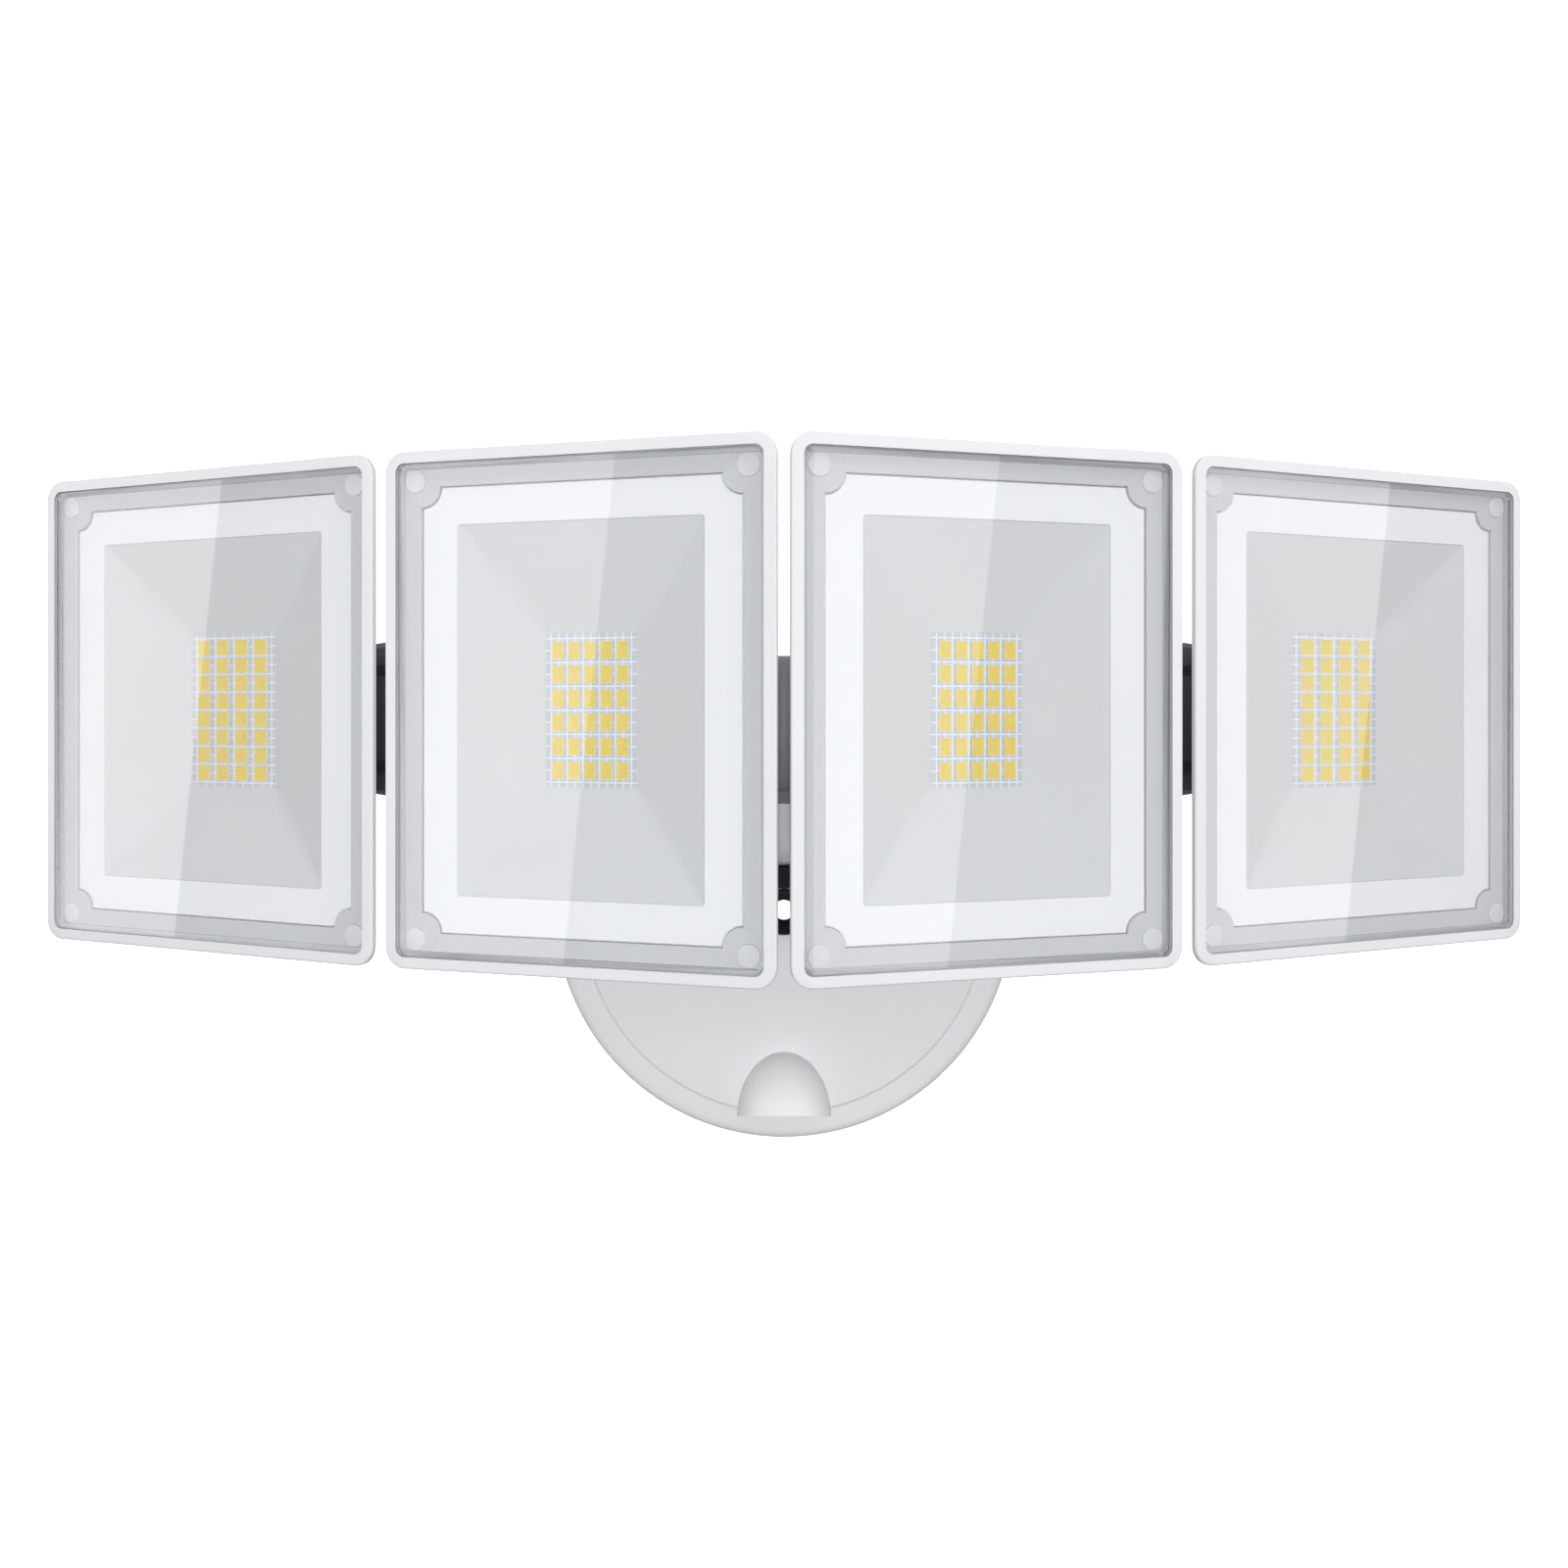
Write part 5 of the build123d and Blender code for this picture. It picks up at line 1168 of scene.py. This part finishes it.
class FLOOD_OT_stage(bpy.types.Operator):
    """Pale sweep, studio lights, soft boxes for the lens glare, and the camera."""
    bl_idname = "flood.stage"
    bl_label = "Stage"

    def execute(self, context):
        s = context.scene.flood_stage
        scene = context.scene
        scene.view_settings.view_transform = "Standard"
        world = bpy.data.worlds.new("white_room")
        world.use_nodes = True
        shader = world.node_tree.nodes["Background"]
        shader.inputs["Color"].default_value = (1.0, 1.0, 1.0, 1)
        shader.inputs["Strength"].default_value = s.fill
        scene.world = world
        self.sweep()
        self.light("key_light", (0.75, -0.85, 0.95), (0.0, -0.05, 0.04), s.key, 0.5)
        self.light("front_light", (0.0, -1.25, 0.02), (0.0, -0.05, 0.02), s.front, 0.16)
        self.flag()
        self.glares(s)
        self.camera(s)
        return {"FINISHED"}

    def sweep(self):
        """Floor that curves up into a backdrop."""
        lowest = CAD_BOX[0].z - 0.16
        bm = bmesh.new()
        curve = [(-1.6, 0.0), (0.45, 0.0)]
        curve += [(0.45 + 0.35 * sin(a), 0.35 - 0.35 * cos(a)) for a in [i * pi / 16 for i in range(1, 9)]]
        curve.append((0.80, 2.2))
        verts = [bm.verts.new((-2.5, y, lowest + z)) for y, z in curve]
        edges = [bm.edges.new(pair) for pair in zip(verts, verts[1:])]
        made = bmesh.ops.extrude_edge_only(bm, edges=edges)["geom"]
        bmesh.ops.translate(bm, verts=moved_verts(made), vec=(5.0, 0, 0))
        paper = grained("studio_paper", (0.9, 0.9, 0.9), 0.9, 300.0, 0.02, spread=0.004)
        shader = paper.node_tree.nodes["Principled BSDF"]
        shader.inputs["Emission Color"].default_value = (1, 1, 1, 1)
        shader.inputs["Emission Strength"].default_value = 1.05
        stage_sheet("studio_sweep", bm, paper, ("diffuse", "glossy", "transmission")).shade_smooth()

    def flag(self):
        """Black card under the light that keeps its lower sides dark."""
        level = CAD_BOX[0].z - 0.12
        bm = bmesh.new()
        card = ((-0.9, -0.7), (0.9, -0.7), (0.9, 0.3), (-0.9, 0.3))
        bm.faces.new([bm.verts.new((x, y, level)) for x, y in card])
        stage_sheet("black_flag", bm, FINISH["rubber"], ("camera", "glossy", "transmission", "shadow"))

    def light(self, name, place, aim, power, size):
        """A square area light that looks at a point."""
        lamp = bpy.data.lights.new(name, "AREA")
        lamp.energy = power
        lamp.size = size
        holder = bpy.data.objects.new(name, lamp)
        holder.location = place
        holder.rotation_euler = (Vector(aim) - Vector(place)).to_track_quat("-Z", "Y").to_euler()
        holder.visible_glossy = False
        holder.visible_transmission = False
        bpy.context.scene.collection.objects.link(holder)

    def glares(self, s):
        """Slanted soft boxes that only reflections see: angles are from straight ahead, + to the left."""
        boxes = {
            ("inner", "left"): (32.8, 36.6, 52.0, 52.0),
            ("outer", "left"): (63.1, 66.5, 86.0, 86.0),
            ("inner", "right"): (-24.1, -24.1, -36.3, -32.5),
            ("outer", "right"): (-54.5, -54.5, -66.3, -63.1),
        }
        glow = bpy.data.materials.new("soft_box")
        glow.use_nodes = True
        shader = glow.node_tree.nodes["Principled BSDF"]
        shader.inputs["Base Color"].default_value = (0, 0, 0, 1)
        shader.inputs["Emission Color"].default_value = (1, 1, 1, 1)
        shader.inputs["Emission Strength"].default_value = s.glare
        reach = 2.0
        rise = (reach + 0.22) * 0.30
        for (row, side), (near_top, near_low, far_top, far_low) in boxes.items():
            origin = PLACES[(row, side)].origin
            bm = bmesh.new()
            points = []
            for angle, z in ((near_top, rise), (far_top, rise), (far_low, -rise), (near_low, -rise)):
                a = radians(angle)
                points.append(bm.verts.new(origin + Vector((-sin(a) * reach, -cos(a) * reach, z))))
            bm.faces.new(points)
            stage_sheet(f"soft_box_{row}_{side}", bm, glow, ("camera", "diffuse", "transmission", "shadow"))

    def camera(self, s):
        """Level camera in front of the heads' middle."""
        lens = bpy.data.cameras.new("front_camera")
        lens.lens = s.lens
        lens.sensor_width = 36.0
        lens.shift_y = s.drop
        lens.clip_start = 0.01
        holder = bpy.data.objects.new("front_camera", lens)
        holder.location = (0.0, -s.distance, s.height)
        holder.rotation_euler = (pi / 2, 0, 0)
        bpy.context.scene.collection.objects.link(holder)
        bpy.context.scene.camera = holder


OPERATORS = (FLOOD_OT_finishes, FLOOD_OT_housings, FLOOD_OT_lenses, FLOOD_OT_reflectors, FLOOD_OT_led_boards,
             FLOOD_OT_arms, FLOOD_OT_neck, FLOOD_OT_hood, FLOOD_OT_base, FLOOD_OT_stage)


class FLOOD_PT_panel(bpy.types.Panel):
    """Lists the operators that build the floodlight."""
    bl_idname = "FLOOD_PT_panel"
    bl_label = "Floodlight"
    bl_space_type = "VIEW_3D"
    bl_region_type = "UI"
    bl_category = "Floodlight"

    def draw(self, context):
        for operator in OPERATORS:
            self.layout.operator(operator.bl_idname)
        for name in GROUPS:
            group = getattr(context.scene, name)
            column = self.layout.box().column()
            for prop in group.bl_rna.properties:
                if prop.identifier not in {"rna_type", "name"}:
                    column.prop(group, prop.identifier)


CLASSES = (*GROUPS.values(), *OPERATORS, FLOOD_PT_panel)


def register():
    """Register the classes and their settings."""
    for cls in CLASSES:
        bpy.utils.register_class(cls)
    for name, group in GROUPS.items():
        setattr(bpy.types.Scene, name, PointerProperty(type=group))


def unregister():
    """Remove the settings and the classes."""
    for name in GROUPS:
        delattr(bpy.types.Scene, name)
    for cls in reversed(CLASSES):
        bpy.utils.unregister_class(cls)


def main():
    """Build every piece in order."""
    register()
    for operator in OPERATORS:
        group, name = operator.bl_idname.split(".")
        getattr(getattr(bpy.ops, group), name)()


if __name__ == "__main__":
    main()
